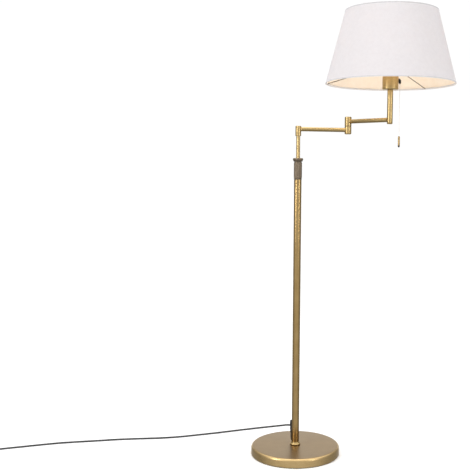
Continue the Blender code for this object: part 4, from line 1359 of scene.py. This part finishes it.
def tie_strap():
    """A twist of soft strap round the coil's bundle."""
    low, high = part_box("coil_tie")
    x = (low[0] + high[0]) / 2
    near, far, top = low[1] + 0.7 * MM, high[1] - 0.7 * MM, high[2] - 0.7 * MM
    section = [(near, low[2] + 0.2 * MM), (near, top), (far, top), (far, low[2] + 0.2 * MM)]
    work = bmesh.new()
    rows = []
    for offset in (-3.0 * MM, 3.0 * MM):
        rows.append([work.verts.new((x + offset, y, z)) for y, z in section])
    for i in range(len(section) - 1):
        work.faces.new((rows[0][i], rows[0][i + 1], rows[1][i + 1], rows[1][i]))
    mesh = mesh_of(work, "cord_tie_strap")
    strap = new_piece("cord_tie_strap", mesh, RUBBER, "base", ("coil_tie",))
    bend = strap.modifiers.new("soft_corners", "BEVEL")
    bend.width = 1.6 * MM
    bend.segments = 4
    bend.limit_method = "ANGLE"
    solid = strap.modifiers.new("strap_thickness", "SOLIDIFY")
    solid.thickness = 0.9 * MM
    solid.offset = 0
    mesh.shade_smooth()
    return strap


ON_CORD = [*plug(), tie_strap()]
for pin in ("plug_pin_1", "plug_pin_2"):
    refinish(pin, NICKEL)
    ON_CORD.append(NODES[pin])
print("plug and tie ready")

# %% [markdown]
# ## The studio
#
# A pale floor, a white backdrop with a bright ceiling, and three soft lamps. Brass only looks like
# brass when it has something darker to mirror, so the studio is dim at both sides. That puts a
# dark line along each edge of a tube, and the tall key lamp at the left draws a bright one beside
# it. The floor is kept out of reflections, because a white floor would bleach the underside of
# every rod: they mirror the dim part of the sky below instead.

# %% Floor, sky and soft lamps


def pale_floor():
    work = bmesh.new()
    bmesh.ops.create_grid(work, x_segments=4, y_segments=4, size=30)
    mesh = mesh_of(work, "pale_floor")
    floor = bpy.data.objects.new("pale_floor", mesh)
    bpy.context.scene.collection.objects.link(floor)
    paper = grained("white_paper_floor", ("#f7f7f7", "#fafafa"), 25, detail=2.0, Roughness=0.9)
    mesh.materials.append(paper)
    floor.visible_glossy = False


SKY_FRONT = 0.85
# Each band: the axis, where the fade begins and ends along it, and the brightness after it.
SKY_BANDS = (
    ("Y", -0.90, 0.20, 0.38),
    ("Y", 0.82, 0.90, 1.02),
    ("Z", 0.45, 0.85, 1.6),
    ("Z", -0.35, -0.75, 0.3),
)


def sky():
    """A middling front, then dim sides, white backdrop, bright ceiling and dim underside."""
    world = bpy.data.worlds.new("overcast_studio")
    world.use_nodes = True
    tree = world.node_tree
    tree.nodes.clear()
    way = add_node(tree, "ShaderNodeTexCoord").outputs["Generated"]
    axes = add_node(tree, "ShaderNodeSeparateXYZ", None, Vector=way)
    level = SKY_FRONT
    for axis, start, end, brightness in SKY_BANDS:
        share = add_node(
            tree,
            "ShaderNodeMapRange",
            {"interpolation_type": "SMOOTHSTEP"},
            Value=axes.outputs[axis],
            From_Min=start,
            From_Max=end,
        ).outputs["Result"]
        level = add_node(
            tree, "ShaderNodeMix", {"data_type": "FLOAT"}, _0=share, _2=level, _3=brightness
        ).outputs[0]
    glow = add_node(tree, "ShaderNodeBackground", None, Color=colour("#ffffff"), Strength=level)
    add_node(tree, "ShaderNodeOutputWorld", None, Surface=glow.outputs[0])
    bpy.context.scene.world = world


def soft_lamp(name, place, aim, size, power, shade="#ffffff"):
    data = bpy.data.lights.new(name, "AREA")
    data.shape = "RECTANGLE"
    data.size, data.size_y = size
    data.energy = power
    data.color = colour(shade)[:3]
    lamp = bpy.data.objects.new(name, data)
    turned = (Vector(aim) - Vector(place)).to_track_quat("-Z", "Y")
    lamp.matrix_world = Matrix.Translation(place) @ turned.to_matrix().to_4x4()
    bpy.context.scene.collection.objects.link(lamp)


pale_floor()
sky()
MIDDLE = (0.1, 0.0, 0.6)
soft_lamp("key", (-1.9, -1.5, 1.5), MIDDLE, (0.3, 1.8), 22)
soft_lamp("fill", (1.9, -1.7, 1.3), MIDDLE, (0.22, 1.6), 10)
soft_lamp("top", (0.2, 0.3, 3.2), MIDDLE, (1.6, 1.6), 10)
bpy.context.scene.view_settings.view_transform = "Standard"
print("studio lit")

# %% Update the scene
bpy.context.view_layer.update()
